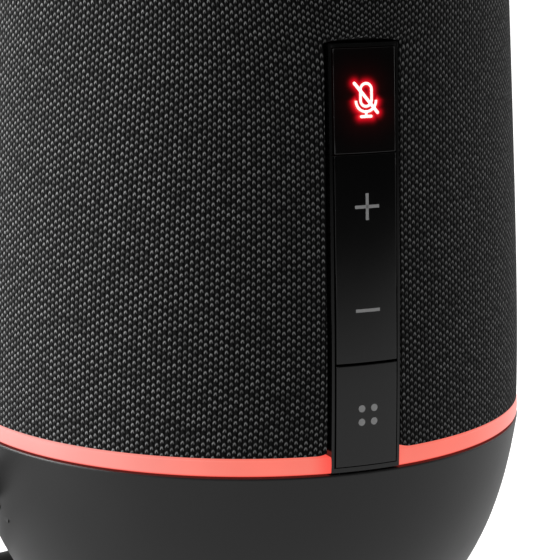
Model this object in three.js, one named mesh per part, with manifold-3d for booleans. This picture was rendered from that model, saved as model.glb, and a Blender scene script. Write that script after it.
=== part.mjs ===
// A smart speaker: a cloth-covered column on a rounded plastic base, with a light ring between
// the two, a strip of three keys on the front, and a low-voltage power lead with its wall adapter.
// Millimetres, +Z up. The origin is on the table, under the middle of the body. The key strip
// faces -Y and the power socket faces -X.
import * as THREE from "three";
import { RoundedBoxGeometry } from "three/addons/geometries/RoundedBoxGeometry.js";
import { mergeVertices } from "three/addons/utils/BufferGeometryUtils.js";
import Module from "manifold-3d";

const wasm = await Module();
wasm.setup();

// ---------------------------------------------------------------- driving dimensions
const GAP = 0.3; // clearance between neighbouring pieces

const BODY_RADIUS = 57; // cloth radius at its lower edge
const BAND_BOTTOM = 46; // the light band, between base and cloth
const BAND_TOP = 49.4;
const BODY_TOP = 188;
const TAPER = 0.0607; // how fast the column narrows, far above the band
const TAPER_EASE = 27; // height over which the taper sets in

const BASE_BULGE = 57.3; // base radius at the band, before the slope below is added
const BASE_DEPTH = 55.8; // depth at which the base curve would close
const BASE_POWER = 2.588; // squareness of the base curve
const BASE_SLOPE = 0.1419;
const BASE_UNDERSIDE = 1; // the foot ring lifts the base off the table by this much
const BASE_WALL = 2.4;
const UNDERSIDE_RADIUS = 32.4;

const FOOT_INNER = 23.5;
const FOOT_OUTER = 30;
const FOOT_HEIGHT = 2.2;

const CLOTH_THICKNESS = 1.1;
const FRAME_WALL = 2;
const SHOULDER_RADIUS = 8;
const SHOULDER_BOTTOM = 178;
const TRIM_GAP = 0.8; // between the cloth's top edge and the trim ring

const KEY_WIDTH = 12.54;
const KEY_PROUD = 0.2; // how far the keys stand out of the bezel
const KEY_SHELL = 2.2;
const KEY_TRAVEL = 0.5;
const KEY_BOTTOM = 47;
const KEY_TOP = 124.4;
const ACTION_SPLIT = 66.5; // joint between action key and rocker
const MUTE_SPLIT = 105.2; // joint between rocker and mute key
const ACTION_SPLIT_GAP = 0.5;
const BEZEL_WIDTH = 14.1;
const BEZEL_TOP = 125.3;
const BEZEL_BACK = 47; // distance of the bezel's back from the axis
const SWITCH_FACE = 46.9; // distance of the switch buttons from the axis
const KEY_BOARD_FACE = 43.7;
const KEY_BOARD_THICKNESS = 1.6;

const ENCLOSURE_RADIUS = 40.5;
const ENCLOSURE_WALL = 2.4;
const ENCLOSURE_BOTTOM = 54;
const ENCLOSURE_TOP = 128;
const RADIATOR_HEIGHT = 84;
const RADIATOR_HOLE = 20;
const TWEETER_HEIGHT = 153;
const TWEETER_RADIUS = 14;

const SOCKET_HEIGHT = 36.1;
const RECESS_WIDTH = 10.4;
const RECESS_HEIGHT = 11;
const RECESS_BACK = 47; // distance of the recess's back wall from the axis
const RECESS_WALL = 2;
const JACK_RADIUS = 3.9;

const CORD_RADIUS = 2;
const PLUG_END = 82.5; // distance of the plug's strain relief's tip from the axis
const COIL_CENTRE = [34, 72.4];
const COIL_INNER = 14.6;
const COIL_OUTER = 31.2;
const COIL_BOTTOM = 0.8;
const COIL_TOP = 9.3;
const RELIEF_LENGTH = 18;
const ADAPTER_SIZE = [53, 38, 28];
const MAINS_PIN_RADIUS = 2;
const MAINS_PIN_LENGTH = 19;
const MAINS_PIN_SPACING = 19;
const PIN_INSET = 16; // from the adapter's far end to the pins

const ROUND_FACETS = 48; // facets round the large outer pieces
const INNER_FACETS = 24; // facets round the pieces inside
const SMALL_FACETS = 12;

// ---------------------------------------------------------------- finishes
const finish = (color, roughness, metalness = 0) => ({ color, roughness, metalness });
const DARK_PLASTIC = finish(0x2b2c2e, 0.45);
const BLACK_PLASTIC = finish(0x0c0c0d, 0.3);
const CLOTH = finish(0x1e1e1f, 0.95);
const GLOW = finish(0xff7a6a, 0.5);
const RUBBER = finish(0x151515, 0.85);
const CIRCUIT = finish(0x14432c, 0.6);
const STEEL = finish(0xb4b6b8, 0.35, 1);
const ALUMINIUM = finish(0xc9cbcd, 0.4, 1);
const IRON = finish(0x4a4a4c, 0.6, 1);
const PAPER = finish(0x222222, 0.9);
const COPPER = finish(0xb46a3c, 0.4, 1);

// ---------------------------------------------------------------- solids
// A closed three.js geometry as a manifold solid.
function solid(geometry) {
  const loose = geometry.index ? geometry.toNonIndexed() : geometry;
  const bare = new THREE.BufferGeometry();
  bare.setAttribute("position", loose.getAttribute("position"));
  const merged = mergeVertices(bare, 1e-4);
  return new wasm.Manifold(
    new wasm.Mesh({
      numProp: 3,
      vertProperties: merged.attributes.position.array,
      triVerts: new Uint32Array(merged.index.array),
    }),
  );
}

// A manifold solid as a three.js geometry.
function geometryOf(made) {
  const mesh = made.getMesh();
  const geometry = new THREE.BufferGeometry();
  geometry.setAttribute("position", new THREE.BufferAttribute(mesh.vertProperties, 3));
  geometry.setIndex(new THREE.BufferAttribute(mesh.triVerts, 1));
  geometry.computeVertexNormals();
  return geometry;
}

// The first geometry without the others.
function cut(geometry, ...tools) {
  const made = tools.reduce((body, tool) => body.subtract(solid(tool)), solid(geometry));
  return geometryOf(made);
}

// All the geometries as one body.
function join(geometry, ...others) {
  const made = others.reduce((body, other) => body.add(solid(other)), solid(geometry));
  return geometryOf(made);
}

// A solid of revolution about +Z from [radius, height] points, in order up the outside. A ring's
// last point repeats its first, and any other profile starts and ends on the axis.
function turned(points, facets = INNER_FACETS) {
  const profile = points.map(([radius, height]) => new THREE.Vector2(radius, height));
  return new THREE.LatheGeometry(profile, facets).rotateX(Math.PI / 2);
}

// A ring of rectangular section.
function ring(inner, outer, bottom, top, facets = INNER_FACETS) {
  const section = [
    [inner, bottom],
    [outer, bottom],
    [outer, top],
    [inner, top],
    [inner, bottom],
  ];
  return turned(section, facets);
}

// A disc or cylinder along +Z.
function disc(radius, bottom, top, facets = INNER_FACETS) {
  const section = [
    [0, bottom],
    [radius, bottom],
    [radius, top],
    [0, top],
  ];
  return turned(section, facets);
}

// A box from its lowest and highest corners.
function box(low, high) {
  const size = high.map((value, i) => value - low[i]);
  const middle = high.map((value, i) => (value + low[i]) / 2);
  return new THREE.BoxGeometry(...size).translate(...middle);
}

// Turns a shape made along +Z so that +Z points along -X.
function towardsSocket(geometry) {
  return geometry.rotateY(-Math.PI / 2);
}

// ---------------------------------------------------------------- outlines
// Outer radius of the cloth at a height.
function clothRadius(height) {
  const rise = Math.max(height - BAND_TOP, 0);
  return BODY_RADIUS - TAPER * (Math.hypot(rise, TAPER_EASE) - TAPER_EASE);
}

// Outer radius of the base at a height.
function baseRadius(height) {
  const drop = BAND_BOTTOM - height;
  const curve = (1 - (drop / BASE_DEPTH) ** BASE_POWER) ** (1 / BASE_POWER);
  return BASE_BULGE * curve - BASE_SLOPE * drop;
}

// Evenly spaced values from first to last.
function steps(first, last, count) {
  return Array.from({ length: count + 1 }, (_, i) => first + ((last - first) * i) / count);
}

// The cloth's outer outline, moved inwards by an inset, from a height up over the shoulder.
function columnOutline(bottom, inset, count) {
  const wall = steps(bottom, SHOULDER_BOTTOM, count).map((z) => [clothRadius(z) - inset, z]);
  const centre = clothRadius(SHOULDER_BOTTOM) - SHOULDER_RADIUS;
  const shoulder = steps(0, Math.PI / 2, 3)
    .slice(1)
    .map((angle) => [
      centre + (SHOULDER_RADIUS - inset) * Math.cos(angle),
      SHOULDER_BOTTOM + (SHOULDER_RADIUS - inset) * Math.sin(angle),
    ]);
  return [...wall, ...shoulder];
}

// A block across the key strip whose front follows the column's outline.
function stripBlock(width, bottom, top, proud, back, count) {
  const front = steps(bottom, top, count).map((z) => new THREE.Vector2(-clothRadius(z) - proud, z));
  const outline = new THREE.Shape([
    new THREE.Vector2(-back, top),
    new THREE.Vector2(-back, bottom),
    ...front,
  ]);
  // The outline lies in the YZ plane and is pushed along X.
  const block = new THREE.ExtrudeGeometry(outline, { depth: width, bevelEnabled: false });
  return block.rotateX(Math.PI / 2).rotateZ(Math.PI / 2).translate(-width / 2, 0, 0);
}

// ---------------------------------------------------------------- the scene graph
const speaker = new THREE.Group();

function add(name, geometry, look, position = [0, 0, 0]) {
  const mesh = new THREE.Mesh(geometry, new THREE.MeshStandardMaterial(look));
  mesh.name = name;
  mesh.position.set(...position);
  speaker.add(mesh);
}

// ---------------------------------------------------------------- base
function makeBase() {
  const outside = steps(BASE_UNDERSIDE, BAND_BOTTOM - 0.15, 8).map((z) => [baseRadius(z), z]);
  const inside = steps(BAND_BOTTOM - 0.15, BASE_UNDERSIDE + BASE_WALL, 4).map((z) => [
    baseRadius(z) - BASE_WALL,
    z,
  ]);
  const bowl = turned(
    [
      [UNDERSIDE_RADIUS, BASE_UNDERSIDE],
      ...outside,
      ...inside,
      [UNDERSIDE_RADIUS, BASE_UNDERSIDE + BASE_WALL],
      [UNDERSIDE_RADIUS, BASE_UNDERSIDE],
    ],
    ROUND_FACETS,
  );

  // The socket's recess is a pocket with its own walls, open to the outside.
  const halfWidth = RECESS_WIDTH / 2;
  const low = SOCKET_HEIGHT - RECESS_HEIGHT / 2;
  const high = SOCKET_HEIGHT + RECESS_HEIGHT / 2;
  const pocketWall = box(
    [-BODY_RADIUS + 3, -halfWidth - RECESS_WALL, low - RECESS_WALL],
    [-RECESS_BACK + RECESS_WALL, halfWidth + RECESS_WALL, high + RECESS_WALL],
  );
  const pocket = box([-BODY_RADIUS - 5, -halfWidth, low], [-RECESS_BACK, halfWidth, high]);
  const jackHole = towardsSocket(disc(JACK_RADIUS + GAP, 40, 50, SMALL_FACETS));
  jackHole.translate(0, 0, SOCKET_HEIGHT);
  add("base_shell", cut(join(bowl, pocketWall), pocket, jackHole), DARK_PLASTIC);

  const plateTop = BASE_UNDERSIDE + BASE_WALL;
  const plateRadius = UNDERSIDE_RADIUS - GAP;
  const groove = FOOT_HEIGHT + GAP;
  const plate = turned([
    [0, BASE_UNDERSIDE],
    [FOOT_INNER - GAP, BASE_UNDERSIDE],
    [FOOT_INNER - GAP, groove],
    [FOOT_OUTER + GAP, groove],
    [FOOT_OUTER + GAP, BASE_UNDERSIDE],
    [plateRadius, BASE_UNDERSIDE],
    [plateRadius, plateTop],
    [0, plateTop],
  ]);
  const screwCircle = 17;
  const holes = corners(screwCircle).map(([x, y]) =>
    disc(1.9, 0, 5, SMALL_FACETS).translate(x, y, 0),
  );
  add("bottom_plate", cut(plate, ...holes), DARK_PLASTIC);
  add("foot_ring", ring(FOOT_INNER, FOOT_OUTER, 0, FOOT_HEIGHT, ROUND_FACETS), RUBBER);

  const screw = turned(
    [
      [0, BASE_UNDERSIDE + 0.4],
      [1.6, BASE_UNDERSIDE + 0.4],
      [1.6, 11],
      [0, 12],
    ],
    SMALL_FACETS,
  );
  corners(screwCircle).forEach(([x, y], i) => {
    add(`base_screw_${i + 1}`, screw, STEEL, [x, y, 0]);
  });
}

// Four places on the diagonals of a circle.
function corners(radius) {
  const side = radius * Math.SQRT1_2;
  return [
    [side, side],
    [-side, side],
    [-side, -side],
    [side, -side],
  ];
}

// ---------------------------------------------------------------- electronics in the base
function makeElectronics() {
  const boardBottom = 19;
  const boardTop = boardBottom + 1.6;
  add("main_board", disc(37, boardBottom, boardTop), CIRCUIT);
  const partsBottom = boardTop + GAP;
  add("processor_shield", box([-12, -14, partsBottom], [12, 10, partsBottom + 2.6]), STEEL);
  const coreSize = 10;
  const core = new RoundedBoxGeometry(coreSize, coreSize, 6, 1, 1.2);
  add("power_inductor", core, IRON, [24, 10, partsBottom + 3]);
  [-6, 6].forEach((x, i) => {
    const can = disc(3.9, partsBottom, partsBottom + 6.8, SMALL_FACETS);
    add(`capacitor_${i + 1}`, can, ALUMINIUM, [x, 24, 0]);
  });
  add("heat_spreader", ring(6, 30, 29, 30.6), ALUMINIUM);
  [-1, 1].forEach((side) => {
    const strip = box([-12, 0, 31.5], [12, 0.8, 41.5]);
    add(side < 0 ? "antenna_front" : "antenna_rear", strip, COPPER, [0, side * 40, 0]);
  });

  const tail = 12; // length of the jack behind the recess
  const front = RECESS_BACK - RECESS_WALL;
  const back = front - tail;
  const barrelRoom = 3.15;
  const pinRadius = 0.9;
  const jack = turned(
    [
      [0, back],
      [JACK_RADIUS, back],
      [JACK_RADIUS, RECESS_BACK],
      [barrelRoom, RECESS_BACK],
      [barrelRoom, back + 1.5],
      [pinRadius, back + 1.5],
      [pinRadius, RECESS_BACK - 3],
      [0, RECESS_BACK - 3],
    ],
    SMALL_FACETS,
  );
  add("dc_jack", towardsSocket(jack), BLACK_PLASTIC, [0, 0, SOCKET_HEIGHT]);
}

// ---------------------------------------------------------------- light band and chassis
function makeBand() {
  const slot = box([-BEZEL_WIDTH / 2 - GAP, -70, 40], [BEZEL_WIDTH / 2 + GAP, -41, 60]);
  const diffuser = ring(52, BODY_RADIUS + 0.2, BAND_BOTTOM + 0.15, BAND_TOP - 0.15, ROUND_FACETS);
  add("light_ring", cut(diffuser, slot), GLOW);

  const ledCount = 12;
  const board = cut(ring(43, 51.5, 46.9, 48.1), slot);
  const leds = steps(0, ledCount - 1, ledCount - 1).map((i) => {
    const angle = ((i + 0.5) / ledCount) * Math.PI * 2 - Math.PI / 2;
    return box([46, -1.4, 47.9], [49, 1.4, 48.9]).rotateZ(angle);
  });
  add("light_board", join(board, ...leds), CIRCUIT);
  add("chassis_plate", cut(ring(9, 50.4, 50, 52.4), slot), DARK_PLASTIC);
}

// ---------------------------------------------------------------- cloth, frame and top
function makeColumn() {
  const bottom = BAND_TOP + GAP;
  const slotTop = BEZEL_TOP + GAP;
  const slotHalf = BEZEL_WIDTH / 2 + GAP;
  const slot = box([-slotHalf, -70, 40], [slotHalf, -30, slotTop]);

  const clothOutside = columnOutline(bottom, 0, 5);
  const clothInside = columnOutline(bottom, CLOTH_THICKNESS, 3).reverse();
  const cloth = turned([...clothOutside, ...clothInside, clothOutside[0]], ROUND_FACETS);
  add("fabric_sleeve", cut(cloth, slot), CLOTH);

  const frameInset = CLOTH_THICKNESS + GAP;
  const frameOutside = columnOutline(bottom + 0.4, frameInset, 2);
  const frameInside = columnOutline(bottom + 0.4, frameInset + FRAME_WALL, 2).reverse();
  const frame = turned([...frameOutside, ...frameInside, frameOutside[0]]);
  const columns = 8;
  const windows = [];
  for (const z of [60, 99, 138]) {
    for (let i = 0; i < columns; i += 1) {
      const angle = ((i + 0.5) / columns) * Math.PI * 2 - Math.PI / 2;
      const overStrip = i === 0 || i === columns - 1;
      if (overStrip && z < slotTop) continue;
      windows.push(box([40, -14, z], [60, 14, z + 33]).rotateZ(angle));
    }
  }
  add("grille_frame", cut(frame, slot, ...windows), DARK_PLASTIC);

  const rim = clothRadius(SHOULDER_BOTTOM) - SHOULDER_RADIUS - TRIM_GAP;
  const trim = turned(
    [
      [rim - 2.4, 181],
      [rim, 181],
      [rim, BODY_TOP - 1.2],
      [rim - 0.6, BODY_TOP],
      [rim - 1.8, BODY_TOP],
      [rim - 2.4, BODY_TOP - 0.6],
      [rim - 2.4, 181],
    ],
    ROUND_FACETS,
  );
  add("top_trim_ring", trim, BLACK_PLASTIC);

  const capRadius = rim - 2.4 - GAP;
  const cap = turned(
    [
      [0, 182.6],
      [capRadius, 183.6],
      [capRadius, BODY_TOP - 1.6],
      [0, BODY_TOP - 2.6],
    ],
    ROUND_FACETS,
  );
  const micHoles = corners(26).map(([x, y]) => disc(0.8, 175, 190, 8).translate(x, y, 0));
  add("top_cap", cut(cap, ...micHoles), BLACK_PLASTIC);
  add("microphone_board", ring(20, 32, 179.4, 181), CIRCUIT);
}

// ---------------------------------------------------------------- key strip
function makeKeys() {
  const opening = KEY_WIDTH / 2 + GAP;
  const bezel = stripBlock(BEZEL_WIDTH, BAND_BOTTOM + 0.15, BEZEL_TOP, 0, BEZEL_BACK, 8);
  const room = box([-opening, -70, KEY_BOTTOM - GAP], [opening, -30, KEY_TOP + GAP]);
  add("button_bezel", cut(bezel, room), BLACK_PLASTIC);

  const stemBack = SWITCH_FACE + KEY_TRAVEL + 0.1;
  const key = (bottom, top, stems) => {
    const middle = clothRadius((bottom + top) / 2);
    const shell = stripBlock(KEY_WIDTH, bottom, top, KEY_PROUD, middle - KEY_SHELL, 3);
    const posts = stems.map((z) => box([-2, -middle, z - 2], [2, -stemBack, z + 2]));
    return join(shell, ...posts);
  };
  const half = GAP / 2;
  const actionTop = ACTION_SPLIT - ACTION_SPLIT_GAP / 2;
  const rockerBottom = ACTION_SPLIT + ACTION_SPLIT_GAP / 2;
  const actionMiddle = (KEY_BOTTOM + actionTop) / 2;
  const muteMiddle = (MUTE_SPLIT + KEY_TOP) / 2;
  const downMiddle = 76;
  const upMiddle = 95.7;
  add("action_button", key(KEY_BOTTOM, actionTop, [actionMiddle]), BLACK_PLASTIC);
  const rocker = key(rockerBottom, MUTE_SPLIT - half, [downMiddle, upMiddle]);
  add("volume_rocker", rocker, BLACK_PLASTIC);
  add("mute_button", key(MUTE_SPLIT + half, KEY_TOP, [muteMiddle]), BLACK_PLASTIC);

  const boardBack = KEY_BOARD_FACE - KEY_BOARD_THICKNESS;
  add("key_board", box([-6, -KEY_BOARD_FACE, 54], [6, -boardBack, 121]), CIRCUIT);
  const switches = {
    action_switch: actionMiddle,
    volume_down_switch: downMiddle,
    volume_up_switch: upMiddle,
    mute_switch: muteMiddle,
  };
  for (const [name, z] of Object.entries(switches)) {
    const body = box([-3, -SWITCH_FACE + 1, -3], [3, -KEY_BOARD_FACE - GAP, 3]);
    const plunger = box([-1.5, -SWITCH_FACE, -1.5], [1.5, -SWITCH_FACE + 1.5, 1.5]);
    add(name, join(body, plunger), STEEL, [0, 0, z]);
  }
}

// ---------------------------------------------------------------- sound parts
function makeEnclosure() {
  const inner = ENCLOSURE_RADIUS - ENCLOSURE_WALL;
  const can = turned([
    [0, ENCLOSURE_BOTTOM],
    [ENCLOSURE_RADIUS, ENCLOSURE_BOTTOM],
    [ENCLOSURE_RADIUS, ENCLOSURE_TOP],
    [inner, ENCLOSURE_TOP],
    [inner, ENCLOSURE_BOTTOM + ENCLOSURE_WALL],
    [0, ENCLOSURE_BOTTOM + ENCLOSURE_WALL],
  ]);
  const sides = [-1, 1];
  const collar = 25.5;
  const along = (geometry, side) =>
    geometry.rotateY((side * Math.PI) / 2).translate(0, 0, RADIATOR_HEIGHT);
  const collars = sides.map((side) => along(disc(collar, 28, 40.6), side));
  const holes = sides.map((side) => along(disc(RADIATOR_HOLE, 20, 50), side));
  const hollow = disc(inner - 6, ENCLOSURE_BOTTOM + ENCLOSURE_WALL, ENCLOSURE_TOP);
  const body = cut(join(can, ...collars), hollow, ...holes);
  add("enclosure", body, DARK_PLASTIC);

  const seat = 40.6 + GAP;
  const radiator = () =>
    turned([
      [0, seat - 1],
      [12, seat - 1],
      [14, seat + 0.2],
      [16.5, seat + 1.6],
      [19, seat],
      [24.5, seat],
      [24.5, seat + 1.2],
      [19.5, seat + 1.2],
      [16.5, seat + 2.8],
      [13, seat + 1.4],
      [0, seat + 0.4],
    ]);
  sides.forEach((side) => {
    add(side < 0 ? "passive_radiator_left" : "passive_radiator_right", along(radiator(), side), RUBBER);
  });
}

function makeWoofer() {
  const seat = ENCLOSURE_TOP + GAP;
  const basket = turned([
    [12.6, 108.6],
    [18, 108.6],
    [33.6, seat],
    [40, seat],
    [40, seat + 1.8],
    [32.6, seat + 1.8],
    [17, 110.4],
    [12.6, 110.4],
    [12.6, 108.6],
  ]);
  add("woofer_basket", basket, STEEL);
  const magnet = turned([
    [0, 91],
    [17, 91],
    [17, 93.5],
    [20, 93.5],
    [20, 105],
    [16, 105],
    [16, 108.2],
    [0, 108.2],
  ]);
  add("woofer_magnet", magnet, IRON);
  add("voice_coil", ring(10.2, 11.2, 108.6, 113.2), COPPER);
  const cone = turned([
    [10.4, 113.6],
    [11.4, 113.6],
    [26.6, 126.6],
    [26.6, 127.4],
    [25.8, 127.4],
    [10.4, 114.6],
    [10.4, 113.6],
  ]);
  add("woofer_cone", cone, PAPER);
  const rollMiddle = 30;
  const roll = steps(0, Math.PI, 4).map((angle) => [Math.cos(angle), Math.sin(angle)]);
  const surround = turned([
    ...roll.map(([c, s]) => [rollMiddle + 2.6 * c, seat + 2.1 + 2.6 * s]),
    ...roll.reverse().map(([c, s]) => [rollMiddle + 1.8 * c, seat + 2.1 + 1.8 * s]),
    [rollMiddle + 2.6, seat + 2.1],
  ]);
  add("woofer_surround", surround, RUBBER);
  const cap = turned([
    [0, 116.4],
    [5, 116],
    [10, 114.9],
    [10, 115.6],
    [5, 117.4],
    [0, 118],
  ]);
  add("woofer_dust_cap", cap, PAPER);
}

function makeTweeters() {
  const along = (geometry, side) =>
    geometry.rotateY((side * Math.PI) / 2).translate(0, 0, TWEETER_HEIGHT);
  const puck = turned([
    [0, 134.5],
    [3, 135],
    [12, 138],
    [30, 138],
    [30, 168],
    [0, 168],
  ]);
  const bores = [-1, 1].map((side) => along(disc(TWEETER_RADIUS + GAP, 9, 40), side));
  add("tweeter_housing", cut(puck, ...bores), DARK_PLASTIC);
  const tweeter = () =>
    turned(
      [
        [0, 10],
        [9, 10],
        [9, 20],
        [TWEETER_RADIUS, 22],
        [TWEETER_RADIUS, 26.5],
        [9, 26.5],
        [5, 28],
        [0, 28.6],
      ],
      24,
    );
  [-1, 1].forEach((side) => {
    add(side < 0 ? "tweeter_left" : "tweeter_right", along(tweeter(), side), PAPER);
  });
}

// ---------------------------------------------------------------- power lead and adapter
// A round cord through a list of points.
function cord(points) {
  const curve = new THREE.CatmullRomCurve3(points.map((p) => new THREE.Vector3(...p)));
  const section = new THREE.Shape();
  section.absarc(0, 0, CORD_RADIUS, 0, Math.PI * 2);
  const count = Math.round(curve.getLength() / (5 * CORD_RADIUS));
  const options = { steps: count, curveSegments: 4, extrudePath: curve, bevelEnabled: false };
  return new THREE.ExtrudeGeometry(section, options);
}

const LEAD_ROUTE = [
  [-82.8, 0, 36.1],
  [-90.5, 0.4, 34.8],
  [-98.2, 1.8, 29.6],
  [-103.8, 4.6, 21],
  [-107, 9, 12],
  [-107, 16, 5.2],
  [-103.5, 24.5, 2.5],
  [-96, 32.5, 2.2],
  [-84, 38.5, 2.2],
  [-69, 41.6, 2.2],
  [-53, 44, 2.2],
  [-37, 47.6, 2.2],
  [-21, 52, 2.2],
  [-5, 51.4, 2.2],
  [10, 46.7, 2.2],
  [22, 41, 2.5],
  [34, 38.9, 3],
];
const TAIL_ROUTE = [
  [67.8, 72.4, 7],
  [65.5, 85.5, 6.6],
  [58.2, 96.6, 6.2],
  [47.1, 104, 5.8],
  [34, 106.4, 5.5],
  [28, 106.4, 5.5],
  [22.6, 106.4, 5.5],
];

// Along +Z from the jack outwards: the barrel with its hole for the jack's pin, the grip and the
// tapered strain relief.
function plugShape() {
  const start = RECESS_BACK + 0.5;
  const barrelTip = start - 9;
  const barrelRadius = 2.75;
  const pinHole = 1.2;
  const gripRadius = 4.9;
  const profile = [
    [0, barrelTip + 6.6],
    [pinHole, barrelTip + 6.6],
    [pinHole, barrelTip],
    [barrelRadius, barrelTip],
    [barrelRadius, start],
    [gripRadius - 0.4, start],
    [gripRadius, start + 2],
    [gripRadius, start + 13],
    [3.6, start + 15],
    [CORD_RADIUS + 0.5, PLUG_END],
    [0, PLUG_END],
  ];
  return towardsSocket(turned(profile, SMALL_FACETS));
}

// A flat strap closed round the coil's section, on the coil's -X side.
function tieShape() {
  const halfWidth = 3;
  const clearance = 0.5;
  const strap = 0.5;
  const loop = (grow, halfLength, bottom) =>
    box(
      [-COIL_OUTER - grow, -halfLength, bottom],
      [-COIL_INNER + grow, halfLength, COIL_TOP + grow],
    );
  return cut(loop(clearance + strap, halfWidth, 0), loop(clearance, halfWidth + 1, strap));
}

function makeLead() {
  add("dc_plug", plugShape(), BLACK_PLASTIC, [0, 0, SOCKET_HEIGHT]);
  add("power_cord", cord(LEAD_ROUTE), RUBBER);
  const coilPlace = [...COIL_CENTRE, 0];
  add("cord_coil", ring(COIL_INNER, COIL_OUTER, COIL_BOTTOM, COIL_TOP), RUBBER, coilPlace);
  add("coil_tie", tieShape(), CLOTH, coilPlace);
  add("cord_tail", cord(TAIL_ROUTE), RUBBER);

  const [exitX, exitY, exitZ] = TAIL_ROUTE.at(-1);
  const taper = [
    [0, 0],
    [CORD_RADIUS + 0.5, 0],
    [4, RELIEF_LENGTH - 2],
    [4, RELIEF_LENGTH],
    [0, RELIEF_LENGTH],
  ];
  const relief = towardsSocket(turned(taper, SMALL_FACETS));
  add("adapter_relief", relief, BLACK_PLASTIC, [exitX - GAP, exitY, exitZ]);

  const near = exitX - RELIEF_LENGTH - 2 * GAP;
  const [sizeX, , sizeZ] = ADAPTER_SIZE;
  const shell = new RoundedBoxGeometry(...ADAPTER_SIZE, 2, 3.5);
  add("adapter_shell", shell, BLACK_PLASTIC, [near - sizeX / 2, exitY, sizeZ / 2]);
  const pin = turned(
    [
      [0, 0],
      [MAINS_PIN_RADIUS, 0],
      [MAINS_PIN_RADIUS, MAINS_PIN_LENGTH - 1.2],
      [1, MAINS_PIN_LENGTH],
      [0, MAINS_PIN_LENGTH],
    ],
    SMALL_FACETS,
  );
  [-1, 1].forEach((side, i) => {
    const across = exitY + (side * MAINS_PIN_SPACING) / 2;
    const place = [near - sizeX + PIN_INSET, across, sizeZ + GAP];
    add(`adapter_pin_${i + 1}`, pin, STEEL, place);
  });
}

makeBase();
makeElectronics();
makeBand();
makeColumn();
makeKeys();
makeEnclosure();
makeWoofer();
makeTweeters();
makeLead();

export default speaker;
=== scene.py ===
"""A cloth-covered table speaker with a key strip, a glowing band and a coiled power lead.

Metres, +Z up. The origin is on the table under the middle of the body, the key strip faces -Y
and the power socket faces -X. Each sub-assembly is a class that builds its pieces and dresses
them, and each finish is a class that makes one procedural material.
"""

from __future__ import annotations

import logging
from collections.abc import Iterator, Sequence
from contextlib import contextmanager
from dataclasses import dataclass, field
from enum import Enum
from itertools import pairwise
from math import cos, exp, hypot, pi, radians, sin, sqrt

import bmesh
import bpy
from mathutils import Matrix, Vector


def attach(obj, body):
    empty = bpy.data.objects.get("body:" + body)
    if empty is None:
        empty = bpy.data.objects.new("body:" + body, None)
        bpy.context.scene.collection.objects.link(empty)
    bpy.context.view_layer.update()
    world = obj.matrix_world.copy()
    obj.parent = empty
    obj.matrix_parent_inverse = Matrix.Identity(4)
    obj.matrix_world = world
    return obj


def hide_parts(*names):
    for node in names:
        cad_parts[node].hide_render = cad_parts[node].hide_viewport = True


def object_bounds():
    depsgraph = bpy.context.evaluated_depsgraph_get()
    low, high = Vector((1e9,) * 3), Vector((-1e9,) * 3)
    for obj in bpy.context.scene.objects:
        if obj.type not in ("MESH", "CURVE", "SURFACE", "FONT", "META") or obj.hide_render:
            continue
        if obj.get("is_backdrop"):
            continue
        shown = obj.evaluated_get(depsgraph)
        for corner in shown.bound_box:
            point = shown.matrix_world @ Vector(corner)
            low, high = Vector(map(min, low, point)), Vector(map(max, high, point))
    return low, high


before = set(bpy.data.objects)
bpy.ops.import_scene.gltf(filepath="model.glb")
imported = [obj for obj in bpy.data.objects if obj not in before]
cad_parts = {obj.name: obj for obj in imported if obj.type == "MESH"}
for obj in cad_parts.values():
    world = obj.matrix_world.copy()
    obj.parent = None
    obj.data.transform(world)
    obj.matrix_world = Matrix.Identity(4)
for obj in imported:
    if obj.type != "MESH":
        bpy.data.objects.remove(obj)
log = logging.getLogger("speaker")

Point = tuple[float, float, float]
Socket = bpy.types.NodeSocket
Number = float | Socket

MERGE = 1e-6


# ---------------------------------------------------------------- shared outline
@dataclass(frozen=True)
class Column:
    """The outline of revolution that the cloth, the keys and the base share."""

    radius: float = 0.0570
    band_bottom: float = 0.0460
    band_top: float = 0.0494
    taper: float = 0.0607
    taper_ease: float = 0.0270
    shoulder_bottom: float = 0.1780
    shoulder_radius: float = 0.0080
    bulge: float = 0.0573
    depth: float = 0.0558
    squareness: float = 2.588
    base_slope: float = 0.1419

    def cloth(self, height: float) -> float:
        """Gives the cloth's outer radius at a height."""
        rise = max(height - self.band_top, 0.0)
        return self.radius - self.taper * (hypot(rise, self.taper_ease) - self.taper_ease)

    def base(self, height: float) -> float:
        """Gives the base's outer radius at a height."""
        drop = self.band_bottom - height
        curve = (1 - (drop / self.depth) ** self.squareness) ** (1 / self.squareness)
        return self.bulge * curve - self.base_slope * drop

    def shoulder_centre(self) -> float:
        """Gives the radius at which the shoulder's rounding is centred."""
        return self.cloth(self.shoulder_bottom) - self.shoulder_radius


COLUMN = Column()


class Body(Enum):
    """The moving bodies of the frame."""

    HOUSING = "housing"
    MUTE_KEY = "mute_key"
    VOLUME_KEY = "volume_key"
    ACTION_KEY = "action_key"


# ---------------------------------------------------------------- bench work
def activate(obj: bpy.types.Object) -> None:
    """Makes one object the only selected one, and the active one.

    Args:
        obj: The object to work on.
    """
    bpy.ops.object.select_all(action="DESELECT")
    obj.select_set(True)
    bpy.context.view_layer.objects.active = obj


@contextmanager
def editing(obj: bpy.types.Object) -> Iterator[None]:
    """Opens an object in edit mode with its whole mesh selected.

    Args:
        obj: The mesh object to edit.
    """
    activate(obj)
    bpy.ops.object.mode_set(mode="EDIT")
    bpy.ops.mesh.select_mode(type="VERT")
    bpy.ops.mesh.select_all(action="SELECT")
    try:
        yield
    finally:
        bpy.ops.object.mode_set(mode="OBJECT")


def keep_primitive(name: str) -> bpy.types.Object:
    """Names the primitive that was just added and moves its place into its mesh.

    Args:
        name: The piece's name.

    Returns:
        The object.
    """
    obj = bpy.context.object
    obj.name = name
    obj.data.name = name
    bpy.ops.object.transform_apply(location=True, rotation=True, scale=True)
    return obj


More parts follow.
